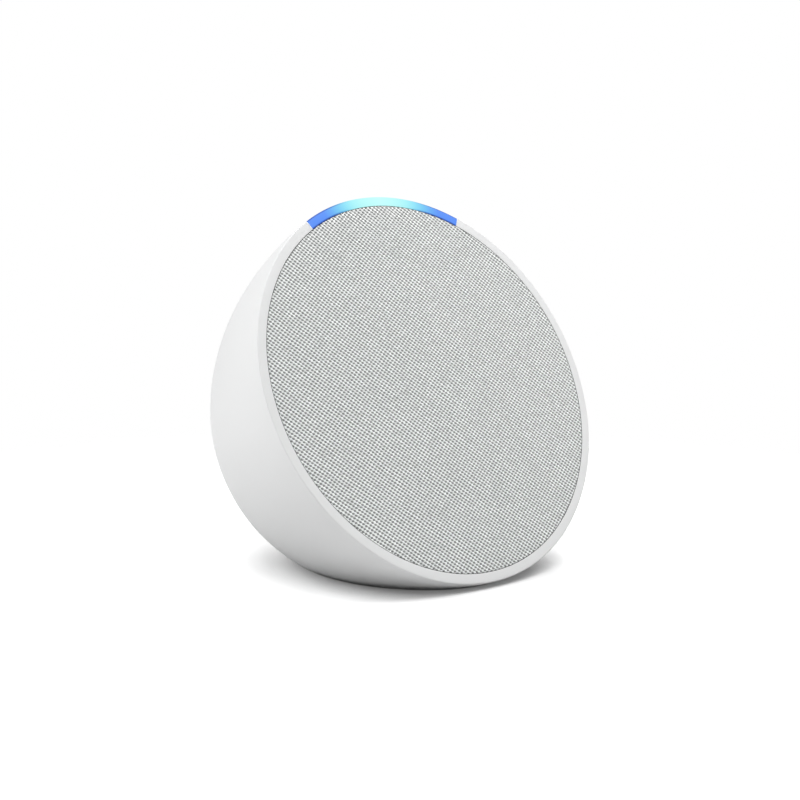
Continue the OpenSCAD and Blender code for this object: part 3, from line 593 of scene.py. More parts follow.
# Open cotton weave, stiffened with resin
def makeSpiderMaterial():
    material, tree, shader = setUp("spiderCloth", Roughness=0.75)
    made = useWeave(tree, spider)
    yarn = mixColour(tree, made["Slub"], spider["dark"], spider["bright"])
    # Dark brown where the weave lies low: painted shade in the holes and hollows between yarns
    feed(tree, shader.inputs["Base Color"], mixColour(tree, made["Gap"], yarn, spider["gap"]))
    bump(tree, shader, made["Height"], spider["depth"])
    return material


board = dict(
    trackCell=2.2 * mm,
    trackWidth=0.07,  # share of its cell
    padCell=1.7 * mm,
    padR=0.18,  # share of its cell
    mask=(0.01, 0.10, 0.05, 1),
    track=(0.025, 0.19, 0.10, 1),
    tin=(0.72, 0.72, 0.70, 1),
    depth=0.03 * mm,
)


# Solder mask over its tracks, with tinned pads
def makeBoardMaterial():
    material, tree, shader = setUp("boardMask")
    cells = addNode(tree, "ShaderNodeTexVoronoi", feature="DISTANCE_TO_EDGE")
    dots = addNode(tree, "ShaderNodeTexVoronoi", feature="F1")
    for node, cell in ((cells, board["trackCell"]), (dots, board["padCell"])):
        feed(tree, node.inputs["Vector"], placeOn(tree))
        feed(tree, node.inputs["Scale"], 1 / cell)
    track = calc(tree, "LESS_THAN", cells.outputs["Distance"], board["trackWidth"])
    pad = calc(tree, "LESS_THAN", dots.outputs["Distance"], board["padR"])
    mask = mixColour(tree, track, board["mask"], board["track"])
    made = useGroup(
        tree, grainGroup, Grain=0.15 * mm, Colour=mask, Clouding=0.1, Roughness=0.35, Spread=0.08
    )
    colour = mixColour(tree, pad, made["Colour"], board["tin"])
    height = calc(tree, "ADD", calc(tree, "MAXIMUM", track, pad), made["Height"])
    dress(tree, shader, colour, made["Roughness"], height, board["depth"])
    feed(tree, shader.inputs["Metallic"], pad)
    return material


# Round ridges side by side, one for each wire or conductor
def ridges(tree, local, axis, pitch):
    across = axesOf(tree, placeOn(tree, local))[axis]
    return calc(tree, "ABSOLUTE", calc(tree, "SINE", calc(tree, "MULTIPLY", across, pi / pitch)))


coil = dict(wire=0.16 * mm, copper=(0.75, 0.34, 0.14, 1), grooveShade=(0.16, 0.05, 0.02, 1))
flex = dict(
    conductor=0.5 * mm,
    lineFrom=0.45,  # how far up a ridge a conductor's flat begins
    film=(0.30, 0.12, 0.02, 1),
    line=(0.62, 0.30, 0.07, 1),
    depth=0.02 * mm,
)


def makeCoilMaterial():
    material, tree, shader = setUp("coilCopper", Metallic=1.0)
    wound = ridges(tree, faceFrame, 2, coil["wire"])
    made = useGroup(
        tree, streakGroup, faceFrame, Streak=0.1 * mm, Length=1.0, Colour=coil["copper"], Roughness=0.3,
        Spread=0.15,
    )
    # Darker copper in the grooves between turns: painted shade
    colour = mixColour(tree, wound, coil["grooveShade"], made["Colour"])
    dress(tree, shader, colour, made["Roughness"], wound, coil["wire"] / 2)
    return material


# Polyimide film with copper conductors under it
def makeFlexMaterial():
    material, tree, shader = setUp("cableFilm")
    lines = calc(tree, "GREATER_THAN", ridges(tree, None, 0, flex["conductor"]), flex["lineFrom"])
    film = mixColour(tree, lines, flex["film"], flex["line"])
    made = useGroup(
        tree, grainGroup, Grain=0.12 * mm, Colour=film, Clouding=0.08, Roughness=0.33, Spread=0.08
    )
    dress(tree, shader, made["Colour"], made["Roughness"], lines, flex["depth"])
    return material


light = dict(
    halfAngle=28.9,
    depth=2.6 * mm,
    seam=0.1 * mm,
    inset=0.05 * mm,
    innerRound=0.1 * mm,
    strength=1.0,
    steps=96,
    unlit=(0.015, 0.02, 0.03, 1),
    edge=0.5 * mm,  # width of the deeper blue along the edges of the two ends
    edgeColour=(0.02, 0.07, 0.42, 1),
    edgeFrom=(0.35, 0.7),  # share of the half angle where the edges begin and are full
    # Colours from the middle out to the ends, at shares of the half angle
    colours=(
        (0.0, (0.54, 0.97, 0.96)),
        (0.14, (0.50, 0.96, 0.94)),
        (0.24, (0.46, 0.93, 0.93)),
        (0.35, (0.38, 0.88, 0.92)),
        (0.45, (0.27, 0.76, 0.92)),
        (0.555, (0.18, 0.59, 0.89)),
        (0.66, (0.13, 0.41, 0.90)),
        (0.76, (0.10, 0.285, 0.92)),
        (1.0, (0.095, 0.27, 0.91)),
    ),
)


def makeLightMaterial():
    material, tree, shader = setUp(
        "litDiffuser", Specular_IOR_Level=0.15, Emission_Strength=light["strength"]
    )
    x, y, z = axesOf(tree, placeOn(tree, faceFrame))
    angle = calc(tree, "ABSOLUTE", calc(tree, "ARCTAN2", x, y))
    share = calc(tree, "DIVIDE", angle, radians(light["halfAngle"]))
    ramp = addNode(tree, "ShaderNodeValToRGB")
    for index, (at, colour) in enumerate(light["colours"]):
        stop = ramp.color_ramp.elements[index] if index < 2 else ramp.color_ramp.elements.new(at)
        stop.position = at
        stop.color = (*colour, 1)
    feed(tree, ramp.inputs[0], share)
    squares = calc(tree, "ADD", calc(tree, "MULTIPLY", x, x), calc(tree, "MULTIPLY", y, y))
    radius = calc(tree, "SQRT", squares)
    outside = calc(tree, "SUBTRACT", body["faceR"], radius)
    toEdge = calc(tree, "MAXIMUM", outside, calc(tree, "MULTIPLY", z, -1.0))
    toEdge = calc(tree, "MINIMUM", toEdge, calc(tree, "SUBTRACT", radius, body["mouthR"]))
    atEdge = rangeOf(tree, toEdge, light["edge"], 0.0)
    atEnd = rangeOf(tree, share, *light["edgeFrom"])
    glow = mixColour(tree, calc(tree, "MULTIPLY", atEdge, atEnd), ramp.outputs[0], light["edgeColour"])
    feed(tree, shader.inputs["Emission Color"], glow)
    made = useGroup(
        tree, grainGroup, Grain=0.2 * mm, Colour=light["unlit"], Clouding=0.1, Roughness=0.5, Spread=0.1
    )
    dress(tree, shader, made["Colour"], made["Roughness"], made["Height"], 0.003 * mm)
    return material


camera = dict(
    lens=72.464,
    azimuth=radians(-40.02),
    height=radians(7.64),
    distance=388 * mm,
    right=8.3 * mm,  # the face's middle lies this far right of the view's middle, and this far above it
    up=3.85 * mm,
)


def makeCamera():
    az, el = camera["azimuth"], camera["height"]
    back = Vector((sin(az) * cos(el), -cos(az) * cos(el), sin(el)))
    right = Vector((cos(az), sin(az), 0))
    up = back.cross(right)
    made = bpy.data.objects.new("camera", bpy.data.cameras.new("camera"))
    made.data.lens = camera["lens"]
    made.data.clip_start = 0.01
    place = faceCentre + back * camera["distance"] - right * camera["right"] - up * camera["up"]
    made.matrix_world = frameAt(place, right, up)
    scene.collection.objects.link(made)
    scene.camera = made


makeCamera()
print("camera set")

housing = dict(
    steps=256,
    flankSteps=28,
    backSteps=36,
    rimRound=0.3 * mm,
    rimDepth=0.8 * mm,  # where the rim's side goes over into the flank
    mouthRound=0.08 * mm,
    insideFrom=2 * mm,  # depth where the hollow begins
    keyInset=3.8 * mm,
    keyDepth=0.7 * mm,
    slotR=(46 * mm, 52 * mm),
    slotDepth=(-1 * mm, 2.7 * mm),
    pocketR=(42 * mm, 48.4 * mm),
    pocketDepth=(2 * mm, 6.2 * mm),
    pocketAngle=30.0,
    sectorSteps=64,
)


# Outline of the body from a depth in its flank to the back's middle
def drawBody(bm, last, startDepth, inset=0.0):
    flankR, backR = body["flankR"] - inset, body["backR"] - inset
    start = asin(startDepth / flankR)
    last = lineTo(bm, last, (bodyRadius(startDepth, inset), -startDepth))
    last = arcTo(bm, last, (flankCentre, 0), blendAngle - start, housing["flankSteps"])
    return arcTo(bm, last, (0, -backDepth), pi / 2 - blendAngle, housing["backSteps"])


def makeOuterShell():
    bm = bmesh.new()
    faceR, mouthR = body["faceR"], body["mouthR"]
    last = lineTo(bm, None, (0, -body["mouthDepth"]), (mouthR, -body["mouthDepth"]))
    mouthCorner = lineTo(bm, last, (mouthR, 0))
    rimCorner = lineTo(bm, mouthCorner, (faceR, 0))
    drawBody(bm, rimCorner, housing["rimDepth"])
    roundOff(bm, [rimCorner], housing["rimRound"], 6)
    roundOff(bm, [mouthCorner], housing["mouthRound"], 3)
    turnRound(bm, housing["steps"])
    bm.transform(faceFrame)
    raiseMiddle(bm, cutLevel(bm, body["footH"]), housing["keyInset"], housing["keyDepth"])
    bmesh.ops.recalc_face_normals(bm, faces=bm.faces)
    return addObject("housingShell", bm)


# The body's shape, inset under its skin and cut off at a floor
def makeInset(inset, floor):
    bm = bmesh.new()
    start = housing["insideFrom"]
    drawBody(bm, lineTo(bm, None, (0, -start)), start, inset)
    turnRound(bm, housing["steps"] // 2)
    bm.transform(faceFrame)
    cutLevel(bm, floor)
    return addObject("inset", bm)


# A post along a frame's Z, added to what the bmesh already holds
def addPost(bm, local, at, radius, low, high, segments=32):
    bmesh.ops.create_cone(
        bm, cap_ends=True, segments=segments, radius1=radius, radius2=radius, depth=high - low,
        matrix=local @ Matrix.Translation((at[0], at[1], (low + high) / 2)),
    )


# Screw posts on the face's frame, on the caps' frame and on the floor: radius, ends, ends of the pilot
posts = dict(
    chassis=(3 * mm, (-39 * mm, -13.4 * mm), (-19.9 * mm, -13.3 * mm)),
    chassisAt=41.16 * mm,
    chassisAngles=(30, 150, 210, 330),
    switch=(1.9 * mm, (-7.5 * mm, 0), (-7.6 * mm, -4.5 * mm)),  # the board hangs below
    switchAt=((-15.5 * mm, 6.5 * mm), (15.5 * mm, 6.5 * mm), (0, 7 * mm)),
    strap=(1.8 * mm, (body["footH"], 17 * mm), (11.5 * mm, 17.1 * mm)),
    strapAt=(7.2 * mm, 3 * mm),  # to each side, and in front of the jack's end
    pilotR=1.03 * mm,
    shelf=(9 * mm, 10.5 * mm, 8.7 * mm),
    clipInset=1 * mm,  # posts end in the wall, this far under the skin
)


def postRows():
    out, (side, ahead) = posts["chassisAt"], posts["strapAt"]
    angles = [radians(angle) for angle in posts["chassisAngles"]]
    ring = [(out * cos(angle), out * sin(angle)) for angle in angles]
    pair = [(x, jackEnd - ahead) for x in (-side, side)]
    return (
        (faceFrame, ring, *posts["chassis"]),
        (topFrame, posts["switchAt"], *posts["switch"]),
        (Matrix.Identity(4), pair, *posts["strap"]),
    )


def addBosses(shell):
    bm = bmesh.new()
    for local, places, radius, ends, pilot in postRows():
        for at in places:
            addPost(bm, local, at, radius, *ends)
    shelf = posts["shelf"]
    centre = Vector((0, jackEnd - shelf[1] / 2, body["footH"] + shelf[2] / 2))
    bmesh.ops.create_cube(bm, size=1, matrix=Matrix.Translation(centre) @ Matrix.Diagonal((*shelf, 1)))
    bosses = addObject("bosses", bm)
    bm = bmesh.new()
    radius, low = inlet["recessR"] + inlet["bossWall"], -inlet["bossT"] - 0.01 * mm
    addPost(bm, inletFrame, (0, 0), radius, low, inlet["bossL"], 64)
    boss = addObject("inletBoss", bm)
    clip = makeInset(posts["clipInset"], body["footH"] + posts["clipInset"])
    for part in (bosses, boss):
        combine(part, clip, "INTERSECT", keep=True)
        combine(shell, part, "UNION")
    bpy.data.objects.remove(clip)


# A round cutter that flares where it leaves the skin, so that the hole's edge is rounded
def addFlare(bm, last, radius, level, flare, reach):
    wide = radius + 2 * flare
    last = lineTo(bm, last, (radius, level - flare))
    last = arcTo(bm, last, (radius + flare, level - flare), radians(60), 3)
    return lineTo(bm, last, (wide, level + flare), (wide, level + reach), (0, level + reach))


def makeBore(x, y, radius, flare, steps):
    bm = bmesh.new()
    low = -controls["boreDepth"]
    addFlare(bm, lineTo(bm, None, (0, low), (radius, low)), radius, 0, flare, 2 * mm)
    turnRound(bm, steps)
    bmesh.ops.translate(bm, verts=bm.verts, vec=(x, y, 0))
    layOnSkin(bm, topFrame)
    return bm


def makeRecess():
    bm = bmesh.new()
    level, radius = 50 * mm, inlet["recessR"]  # the flare is laid on the skin from this level
    low, collarR = -inlet["bossT"] - inlet["poke"], inlet["collarR"]
    last = lineTo(bm, None, (0, low), (collarR, low), (collarR, 0))
    corner = lineTo(bm, last, (radius, 0))
    addFlare(bm, corner, radius, level, inlet["recessRound"], 5 * mm)
    roundOff(bm, [corner], inlet["lipRound"], 4)
    turnRound(bm, 96)
    layOnSkin(bm, inletFrame, above=level / 2, base=level)
    return bm


def makePilots():
    bm = bmesh.new()
    for local, places, radius, ends, pilot in postRows():
        for at in places:
            addPost(bm, local, at, posts["pilotR"], *pilot, 20)
    return bm


def cutHoles(shell):
    cutters = bmesh.new()

    def takeIn(bm):
        mesh = bpy.data.meshes.new("cutter")
        bm.to_mesh(mesh)
        bm.free()
        cutters.from_mesh(mesh)
        bpy.data.meshes.remove(mesh)

    micX, micY = controls["mics"]
    for place in (-1, 0, 1):
        radius = controls["capR"] + controls["gap"]
        takeIn(makeBore(place * controls["pitch"], 0, radius, controls["boreRound"], 96))
    for side in (-1, 1):
        takeIn(makeBore(side * micX, micY, controls["micR"], controls["micRound"], 32))
    takeIn(makeRecess())
    takeIn(makePilots())
    combine(shell, addObject("cutters", cutters), "DIFFERENCE")


# Spins a closed outline round the top by an angle each way, and closes its two ends
def closeSector(bm, name, halfAngle, steps):
    first = bm.edges[:]
    toStart = Matrix.Rotation(pi / 2 - radians(halfAngle), 3, "Z")
    bmesh.ops.rotate(bm, verts=bm.verts, cent=(0, 0, 0), matrix=toStart)
    spun = bmesh.ops.spin(
        bm, geom=bm.verts[:] + first, cent=(0, 0, 0), axis=(0, 0, 1), angle=2 * radians(halfAngle),
        steps=steps,
    )
    for loop in (first, ofKind(spun["geom_last"], BMEdge)):
        bmesh.ops.contextual_create(bm, geom=loop)
    bmesh.ops.recalc_face_normals(bm, faces=bm.faces)
    bm.transform(faceFrame)
    return addObject(name, bm)


# Cuts a block out of the shell that follows the rim round the top, between two radii and two depths
def cutSector(shell, halfAngle, radii, depths):
    (inner, outer), (front, back) = radii, depths
    bm = bmesh.new()
    drawLoop(bm, (inner, -front), (outer, -front), (outer, -back), (inner, -back))
    combine(shell, closeSector(bm, "sector", halfAngle, housing["sectorSteps"]), "DIFFERENCE")


def makeHousing(material):
    shell = makeOuterShell()
    combine(shell, makeInset(body["wall"], body["floorTop"]), "DIFFERENCE")
    addBosses(shell)
    cutHoles(shell)
    seam = asin(light["seam"] / body["faceR"]) * 180 / pi
    cutSector(shell, light["halfAngle"] + seam, housing["slotR"], housing["slotDepth"])
    cutSector(shell, housing["pocketAngle"], housing["pocketR"], housing["pocketDepth"])
    tidyCuts(shell)
    finishPiece(shell, material, replaced=["rear_housing"])


def makeLightBar(material):
    bm = bmesh.new()
    innerR, back = body["mouthR"] + light["inset"], light["depth"]
    inner = lineTo(bm, None, (innerR, 0))
    outer = lineTo(bm, inner, (body["faceR"], 0))
    last = lineTo(bm, outer, (bodyRadius(back), -back), (innerR, -back))
    bm.edges.new((last, inner))
    roundOff(bm, [outer], housing["rimRound"], 6)
    roundOff(bm, [inner], light["innerRound"], 2)
    bar = closeSector(bm, "lightBar", light["halfAngle"], light["steps"])
    finishPiece(bar, material, replaced=["light_bar"])


foot = dict(
    steps=192,
    startR=20 * mm,  # of the circle that is fitted to the skin
    outlineAt=0.01 * mm,  # height where the underside's outline is taken
    step=0.1 * mm,
    edgeRound=0.15 * mm,
    topRound=0.12 * mm,
    keyInset=3.9 * mm,
    keyH=0.6 * mm,
)


# Moves a level ring of vertices out or in to the body's skin, inset under it
def fitRing(verts, inset):
    for v in verts:
        flat = Vector((v.co.x, v.co.y, 0)).normalized()
        for step in range(ringSteps):
            v.co -= flat * skinGap(v.co, inset)


def makeFoot(material):
    bm = bmesh.new()
    bmesh.ops.create_circle(bm, cap_ends=True, segments=foot["steps"], radius=foot["startR"])
    under = next(iter(bm.faces))
    bmesh.ops.translate(bm, verts=bm.verts, vec=(0, 0, foot["outlineAt"]))
    fitRing(bm.verts, foot["step"])
    raised = bmesh.ops.extrude_face_region(bm, geom=[under], use_keep_orig=True)
    upper = ofKind(raised["geom"], BMVert)
    top = ofKind(raised["geom"], BMFace)[0]
    for v in bm.verts:
        v.co.z = 0.0
    for v in upper:
        v.co.z = body["footH"]
    fitRing(upper, foot["step"])
    lower = [e for e in bm.edges if all(v.co.z < merge for v in e.verts)]
    roundOff(bm, lower, foot["edgeRound"], 3, "EDGES")
    raiseMiddle(bm, top, foot["keyInset"] - foot["step"], foot["keyH"])
    rim = [e for e in bm.edges if all(v in upper for v in e.verts)]
    roundOff(bm, rim, foot["topRound"], 2, "EDGES")
    bmesh.ops.recalc_face_normals(bm, faces=bm.faces)
    finishPiece(addObject("footPad", bm), material, replaced=["foot_pad"])


cloth = dict(
    r=46.96 * mm,
    sink=0.02 * mm,  # its front under the face's plane
    thick=0.5 * mm,
    edgeRound=0.1 * mm,
    back=3.2 * mm,  # depth of its turned-over edge
    lip=1.9 * mm,
    rings=24,
    steps=192,
    outsideMap=(0.5, 0.5),  # middle and radius of each disc on the map
    insideMap=(0.075, 0.068),
    slack=0.01 * mm,
)


# Length along the cloth's profile from its middle to a point, over its front, its side and its lip
def alongProfile(r, depth, side, front):
    middle = (cloth["sink"] + cloth["back"]) / 2
    return (r if depth < middle else 2 * side - r) + depth - front


# Flattens the cloth's outside to one disc of the map, and its hidden inside to a small one
def unrollCloth(mesh):
    side, front, back, thick = cloth["r"], cloth["sink"], cloth["back"], cloth["thick"]
    end = side - cloth["lip"]
    layer = mesh.uv_layers.new(name="OFBake")
    for face in mesh.polygons:
        centre = toFace @ face.center
        r, depth = hypot(centre.x, centre.y), -centre.z
        onLip = depth > back - cloth["slack"] and r > end
        if depth < front + thick / 2 or r > side - thick / 2 or onLip:
            (middle, size), edge, level = cloth["outsideMap"], side, front
        else:
            (middle, size), edge, level = cloth["insideMap"], side - thick, front + thick
        total = alongProfile(end, back, edge, level)
        for loop in face.loop_indices:
            p = toFace @ mesh.vertices[mesh.loops[loop].vertex_index].co
            r = max(hypot(p.x, p.y), 1e-9)
            share = size * alongProfile(r, -p.z, edge, level) / total / r
            layer.data[loop].uv = (middle + p.x * share, middle + p.y * share)


def makeCloth(material):
    bm = bmesh.new()
    side, front, back, thick = cloth["r"], -cloth["sink"], -cloth["back"], cloth["thick"]
    last = lineTo(bm, None, (0, front))
    for ring in range(1, cloth["rings"]):
        last = lineTo(bm, last, (side * ring / cloth["rings"], front))
    outer = lineTo(bm, last, (side, front))
    lower = lineTo(bm, outer, (side, back))
    last = lineTo(bm, lower, (side - cloth["lip"], back), (side - cloth["lip"], back + thick))
    lineTo(bm, last, (side - thick, back + thick), (side - thick, front - thick), (0, front - thick))
    roundOff(bm, [outer, lower], cloth["edgeRound"], 2)
    turnRound(bm, cloth["steps"])
    bm.transform(faceFrame)
    piece = finishPiece(addObject("wovenCloth", bm), material, replaced=["grille_cloth"])
    unrollCloth(piece.data)


# Dark ring in the gap between the cloth and the rim: painted shade, put there so that the narrow gap reads
# as a dark line
shadeRing = dict(inner=46.98 * mm, outer=47.09 * mm, front=-0.08 * mm, back=-1.2 * mm)


def makeShadeRing(material):
    bm = bmesh.new()
    inner, outer, front, back = shadeRing["inner"], shadeRing["outer"], shadeRing["front"], shadeRing["back"]
    drawLoop(bm, (inner, front), (outer, front), (outer, back), (inner, back))
    turnRound(bm, housing["steps"])
    bm.transform(faceFrame)
    finishPiece(addObject("gapShadeRing", bm), material)


# Button caps: a round plate that follows the skin, its lip inside the housing and its stem
cap = dict(
    steps=64,
    edgeRound=0.28 * mm,
    dish=0.12 * mm,
    dishInset=0.3 * mm,
    dishRings=8,
    lipTop=-2.6 * mm,
    lipR=4.8 * mm,
    under=-3.3 * mm,
    skinFrom=-4 * mm,  # what is higher than this follows the skin
    stemR=1.4 * mm,
    stemEnd=-5.7 * mm,
)
mark = dict(
    length=2.6 * mm,
    width=0.42 * mm,
    thick=0.12 * mm,
    stand=0.015 * mm,
    ringR=1.25 * mm,
    ringSteps=48,
    slashL=1.9 * mm,
)


# Height of a cap's hollow top, at a share of the hollow's radius
def dishHeight(share):
    return controls["proud"] - cap["dish"] * (1 - share**2)


def makeCap(name, index, material, rideOn, replaced):
    bm = bmesh.new()
    r, stemR, lipR, lipTop, under = controls["capR"], cap["stemR"], cap["lipR"], cap["lipTop"], cap["under"]
    last = lineTo(bm, None, (0, cap["stemEnd"]), (stemR, cap["stemEnd"]), (stemR, under))
    last = lineTo(bm, last, (lipR, under), (lipR, lipTop), (r, lipTop))
    last = corner = lineTo(bm, last, (r, controls["proud"]))
    for ring in range(1, cap["dishRings"] + 1):
        share = 1 - ring / cap["dishRings"]
        last = lineTo(bm, last, ((r - cap["dishInset"]) * share, dishHeight(share)))
    roundOff(bm, [corner], cap["edgeRound"], 5)
    turnRound(bm, cap["steps"])
    bmesh.ops.translate(bm, verts=bm.verts, vec=(index * controls["pitch"], 0, 0))
    layOnSkin(bm, topFrame, above=cap["skinFrom"])
    finishPiece(addObject(name, bm), material, rideOn, replaced, sharp=40)


# Thin inlaid marks: bars that follow the cap's dish
def addBar(bm, length, turn=0.0, at=(0, 0), steps=12):
    made = bmesh.ops.create_grid(bm, x_segments=steps, y_segments=2, size=0.5)["verts"]
    bmesh.ops.scale(bm, vec=(length, mark["width"], 1), verts=made)
    bmesh.ops.rotate(bm, verts=made, cent=(0, 0, 0), matrix=Matrix.Rotation(turn, 3, "Z"))
    bmesh.ops.translate(bm, verts=made, vec=(*at, 0))


def drawMinus(bm):
    addBar(bm, mark["length"])


def drawPlus(bm):
    addBar(bm, mark["width"], steps=2)
    arm = (mark["length"] - mark["width"]) / 2
    out = (arm + mark["width"]) / 2
    for quarter in range(4):
        turn = quarter * pi / 2
        addBar(bm, arm, turn, (out * cos(turn), out * sin(turn)), steps=6)
    bmesh.ops.remove_doubles(bm, verts=bm.verts, dist=merge)


def drawCrossedRing(bm):
    lineTo(bm, None, (mark["ringR"], 0), (mark["ringR"] - mark["width"], 0))
    turnRound(bm, mark["ringSteps"])
    addBar(bm, mark["slashL"], radians(45))


def makeMark(name, index, draw, material, rideOn):
    bm = bmesh.new()
    draw(bm)
    for v in bm.verts:
        share = hypot(v.co.x, v.co.y) / (controls["capR"] - cap["dishInset"])
        v.co.z = dishHeight(share) + mark["stand"]
    bmesh.ops.solidify(bm, geom=bm.faces[:], thickness=mark["thick"])
    bmesh.ops.translate(bm, verts=bm.verts, vec=(index * controls["pitch"], 0, 0))
    layOnSkin(bm, topFrame)
    bmesh.ops.recalc_face_normals(bm, faces=bm.faces)
    finishPiece(addObject(name, bm), material, rideOn)


# Name, colour and roughness of each slot's finish, with its grain and depth where they matter
mouldedSlots = {
    "foot_rubber": ("footRubber", (0.8, 0.805, 0.8), 0.75, 0.2, 0.01),
    "led": ("ledBody", (0.85, 0.84, 0.70), 0.4),
    "dark_plastic": ("darkPlastic", (0.025, 0.025, 0.027), 0.55, 0.12, 0.008),
    "foam": ("sealFoam", (0.03, 0.03, 0.03), 0.95, 0.25, 0.05),
    "basket_metal": ("basketCoating", (0.03, 0.03, 0.032), 0.5, 0.1, 0.01),
    "ferrite": ("magnetFerrite", (0.05, 0.05, 0.055), 0.6, 0.15, 0.012),
    "former_film": ("formerFilm", (0.55, 0.30, 0.06), 0.3),
    "cone_paper": ("conePaper", (0.03, 0.03, 0.032), 0.8, 0.4, 0.05),
    "surround_rubber": ("surroundRubber", (0.02, 0.02, 0.02), 0.5),
    "chip": ("chipPackage", (0.02, 0.02, 0.022), 0.6),
    "pad": ("thermalPad", (0.25, 0.35, 0.45), 0.8),
    "capacitor": ("capacitorSleeve", (0.02, 0.03, 0.07), 0.3),
    "inductor": ("inductorBlock", (0.06, 0.06, 0.06), 0.7),
    "connector": ("connectorNylon", (0.72, 0.68, 0.56), 0.5),
    "lead_red": ("leadRed", (0.45, 0.02, 0.015), 0.4),
    "lead_black": ("leadBlack", (0.02, 0.02, 0.02), 0.4),
    "mark": ("markInk", (0.30, 0.31, 0.31), 0.5),
}
metalSlots = {
    "screw_steel": ("screwSteel", (0.60, 0.60, 0.61), 0.32),
    "contact_brass": ("contactBrass", (0.78, 0.58, 0.25), 0.28),
    "plate_steel": ("plateSteel", (0.56, 0.57, 0.58), 0.35),
    "sink_aluminium": ("sinkAluminium", (0.75, 0.76, 0.77), 0.38),
    "can_steel": ("canSteel", (0.70, 0.70, 0.70), 0.25),
    "antenna_copper": ("antennaCopper", (0.72, 0.40, 0.20), 0.3),
    "mic_metal": ("micCan", (0.80, 0.62, 0.35), 0.25),
}
shellFinish = dict(depth=0.003, clouding=0.01, spread=0.08, Specular_IOR_Level=0.2)
guideFinish = dict(Transmission_Weight=0.8, IOR=1.49)
finishes = {slot: moulded(*values) for slot, values in mouldedSlots.items()}
finishes |= {slot: metal(*values) for slot, values in metalSlots.items()}
finishes |= {
    "shell": moulded("shellPlastic", (0.83, 0.835, 0.835), 0.48, **shellFinish),
    "light_guide": moulded("guideAcrylic", (0.85, 0.93, 0.95), 0.12, **guideFinish),
    "diffuser": makeLightMaterial(),
    "cloth": makeClothMaterial(),
    "board": makeBoardMaterial(),
    "copper": makeCoilMaterial(),
    "spider_cloth": makeSpiderMaterial(),
    "flex": makeFlexMaterial(),
}
for node in nodes.values():
    for index, old in enumerate(node.data.materials):
        node.data.materials[index] = finishes[old.name.split(".")[0]]
print("finishes set")

makeHousing(finishes["shell"])
print("housing made")
makeLightBar(finishes["diffuser"])
makeCloth(finishes["cloth"])
# The dark ring in the cloth's gap is painted shade, in the foam's finish
makeShadeRing(finishes["foam"])
makeFoot(finishes["foot_rubber"])
print("light, cloth and foot made")
for name, index, key in (
    ("volumeDownCap", -1, "volume_down"),
    ("muteCap", 0, "mute"),
    ("volumeUpCap", 1, "volume_up"),
):
    makeCap(name, index, finishes["shell"], key + "_button", [key + "_cap"])
for name, index, key, draw in (
    ("minusMark", -1, "volume_down", drawMinus),
    ("plusMark", 1, "volume_up", drawPlus),
    ("muteMark", 0, "mute", drawCrossedRing),
):
    makeMark(name, index, draw, finishes["mark"], key + "_button")
print("buttons made")

stage = dict(
    floorSize=6.0,
    floorTint=0.76,
    floorSeen=1.22,
    floorGlow=0.13,
    contact=12 * mm,  # reach of the painted contact shadow that darkens the floor round the foot
    shadowPower=0.4,
    shadowLeast=0.5,
    glossSeen=0.35,  # how bright the white ground is in a glossy surface
    aimHeight=45 * mm,
    fade=(0.10, 0.22),  # where the seen floor gives way to the white ground, from the middle out
    lamps=(
        # name, watts, size, whether it glints, place; all are turned to the body's middle
        ("leftLamp", 5.7, 0.6, True, (-0.575, 0.435, 0.555)),
        ("rightLamp", 1.15, 0.3, True, (0.160, -0.179, 0.390)),
        ("backLamp", 2.0, 0.6, False, (0.406, 0.483, 0.687)),
        ("frontLamp", 3.06, 0.6, True, (-0.400, -0.476, 0.696)),
    ),
)
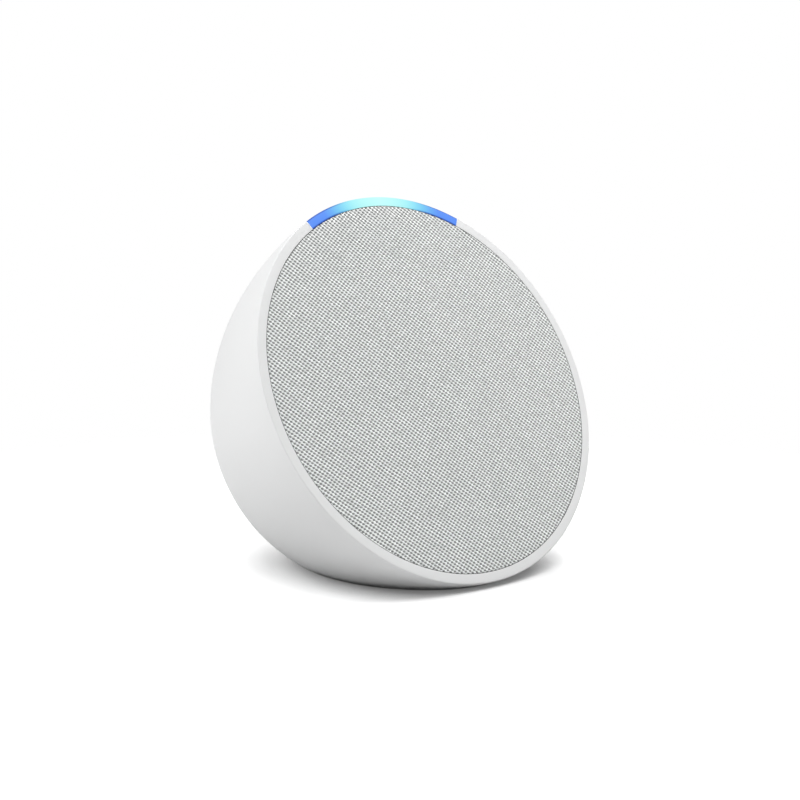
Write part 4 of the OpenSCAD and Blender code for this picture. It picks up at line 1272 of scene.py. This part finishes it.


# The floor takes the body's shadow, with a painted contact shadow darkening its colour round the foot, and
# lights the body from below; farther out the view shows plain white
def makeFloor():
    bm = bmesh.new()
    bmesh.ops.create_grid(bm, x_segments=1, y_segments=1, size=stage["floorSize"] / 2)
    floor = addObject("floor", bm)
    material, tree, shader = setUp(
        "floorPaint", Roughness=0.9, Specular_IOR_Level=0.0, Emission_Strength=1.0
    )
    path = addNode(tree, "ShaderNodeLightPath").outputs
    low, high = stage["floorTint"], stage["floorSeen"]
    # Painted contact shadow: ambient occlusion darkens the floor's colour round the foot, both as the view
    # sees it and as it lights the body from below
    shadowOcclusion = addNode(tree, "ShaderNodeAmbientOcclusion", samples=8)
    feed(tree, shadowOcclusion.inputs["Distance"], stage["contact"])
    shade = calc(tree, "POWER", shadowOcclusion.outputs["AO"], stage["shadowPower"])
    shade = calc(tree, "MAXIMUM", shade, stage["shadowLeast"])
    paint = mixColour(tree, path["Is Camera Ray"], (low, low, low, 1), (high, high, high, 1))
    feed(tree, shader.inputs["Base Color"], mixColour(tree, shade, (0, 0, 0, 1), paint))
    glow = stage["floorGlow"]
    colour = mixColour(tree, path["Is Camera Ray"], (0, 0, 0, 1), (glow, glow, glow, 1))
    feed(tree, shader.inputs["Emission Color"], colour)
    reach = addNode(tree, "ShaderNodeVectorMath", operation="LENGTH")
    feed(tree, reach.inputs[0], placeOn(tree))
    faded = rangeOf(tree, reach.outputs["Value"], *stage["fade"])
    hidden = calc(tree, "MULTIPLY", faded, path["Is Camera Ray"])
    feed(tree, shader.inputs["Alpha"], calc(tree, "SUBTRACT", 1.0, hidden))
    floor.data.materials.append(material)


# White for the rays that see it; the light itself comes from the lamps
def makeWorld():
    world = bpy.data.worlds.new("studio")
    scene.world = world
    world.use_nodes = True
    tree = world.node_tree
    path = addNode(tree, "ShaderNodeLightPath").outputs
    seen = calc(tree, "MAXIMUM", path["Is Camera Ray"], path["Is Transmission Ray"])
    seen = calc(tree, "MAXIMUM", seen, calc(tree, "MULTIPLY", path["Is Glossy Ray"], stage["glossSeen"]))
    ground = tree.nodes["Background"].inputs
    feed(tree, ground["Strength"], seen)
    feed(tree, ground["Color"], (1, 1, 1, 1))


def makeLamps():
    for name, watts, size, glint, place in stage["lamps"]:
        lamp = bpy.data.lights.new(name, "AREA")
        lamp.energy, lamp.size, lamp.shape = watts, size, "DISK"
        made = bpy.data.objects.new(name, lamp)
        made.location = place
        made.visible_glossy = glint
        aim = Vector((0, 0, stage["aimHeight"])) - Vector(place)
        made.rotation_euler = aim.to_track_quat("-Z", "Y").to_euler()
        scene.collection.objects.link(made)


makeFloor()
makeWorld()
makeLamps()
scene.view_settings.view_transform = "Standard"
print("stage set")
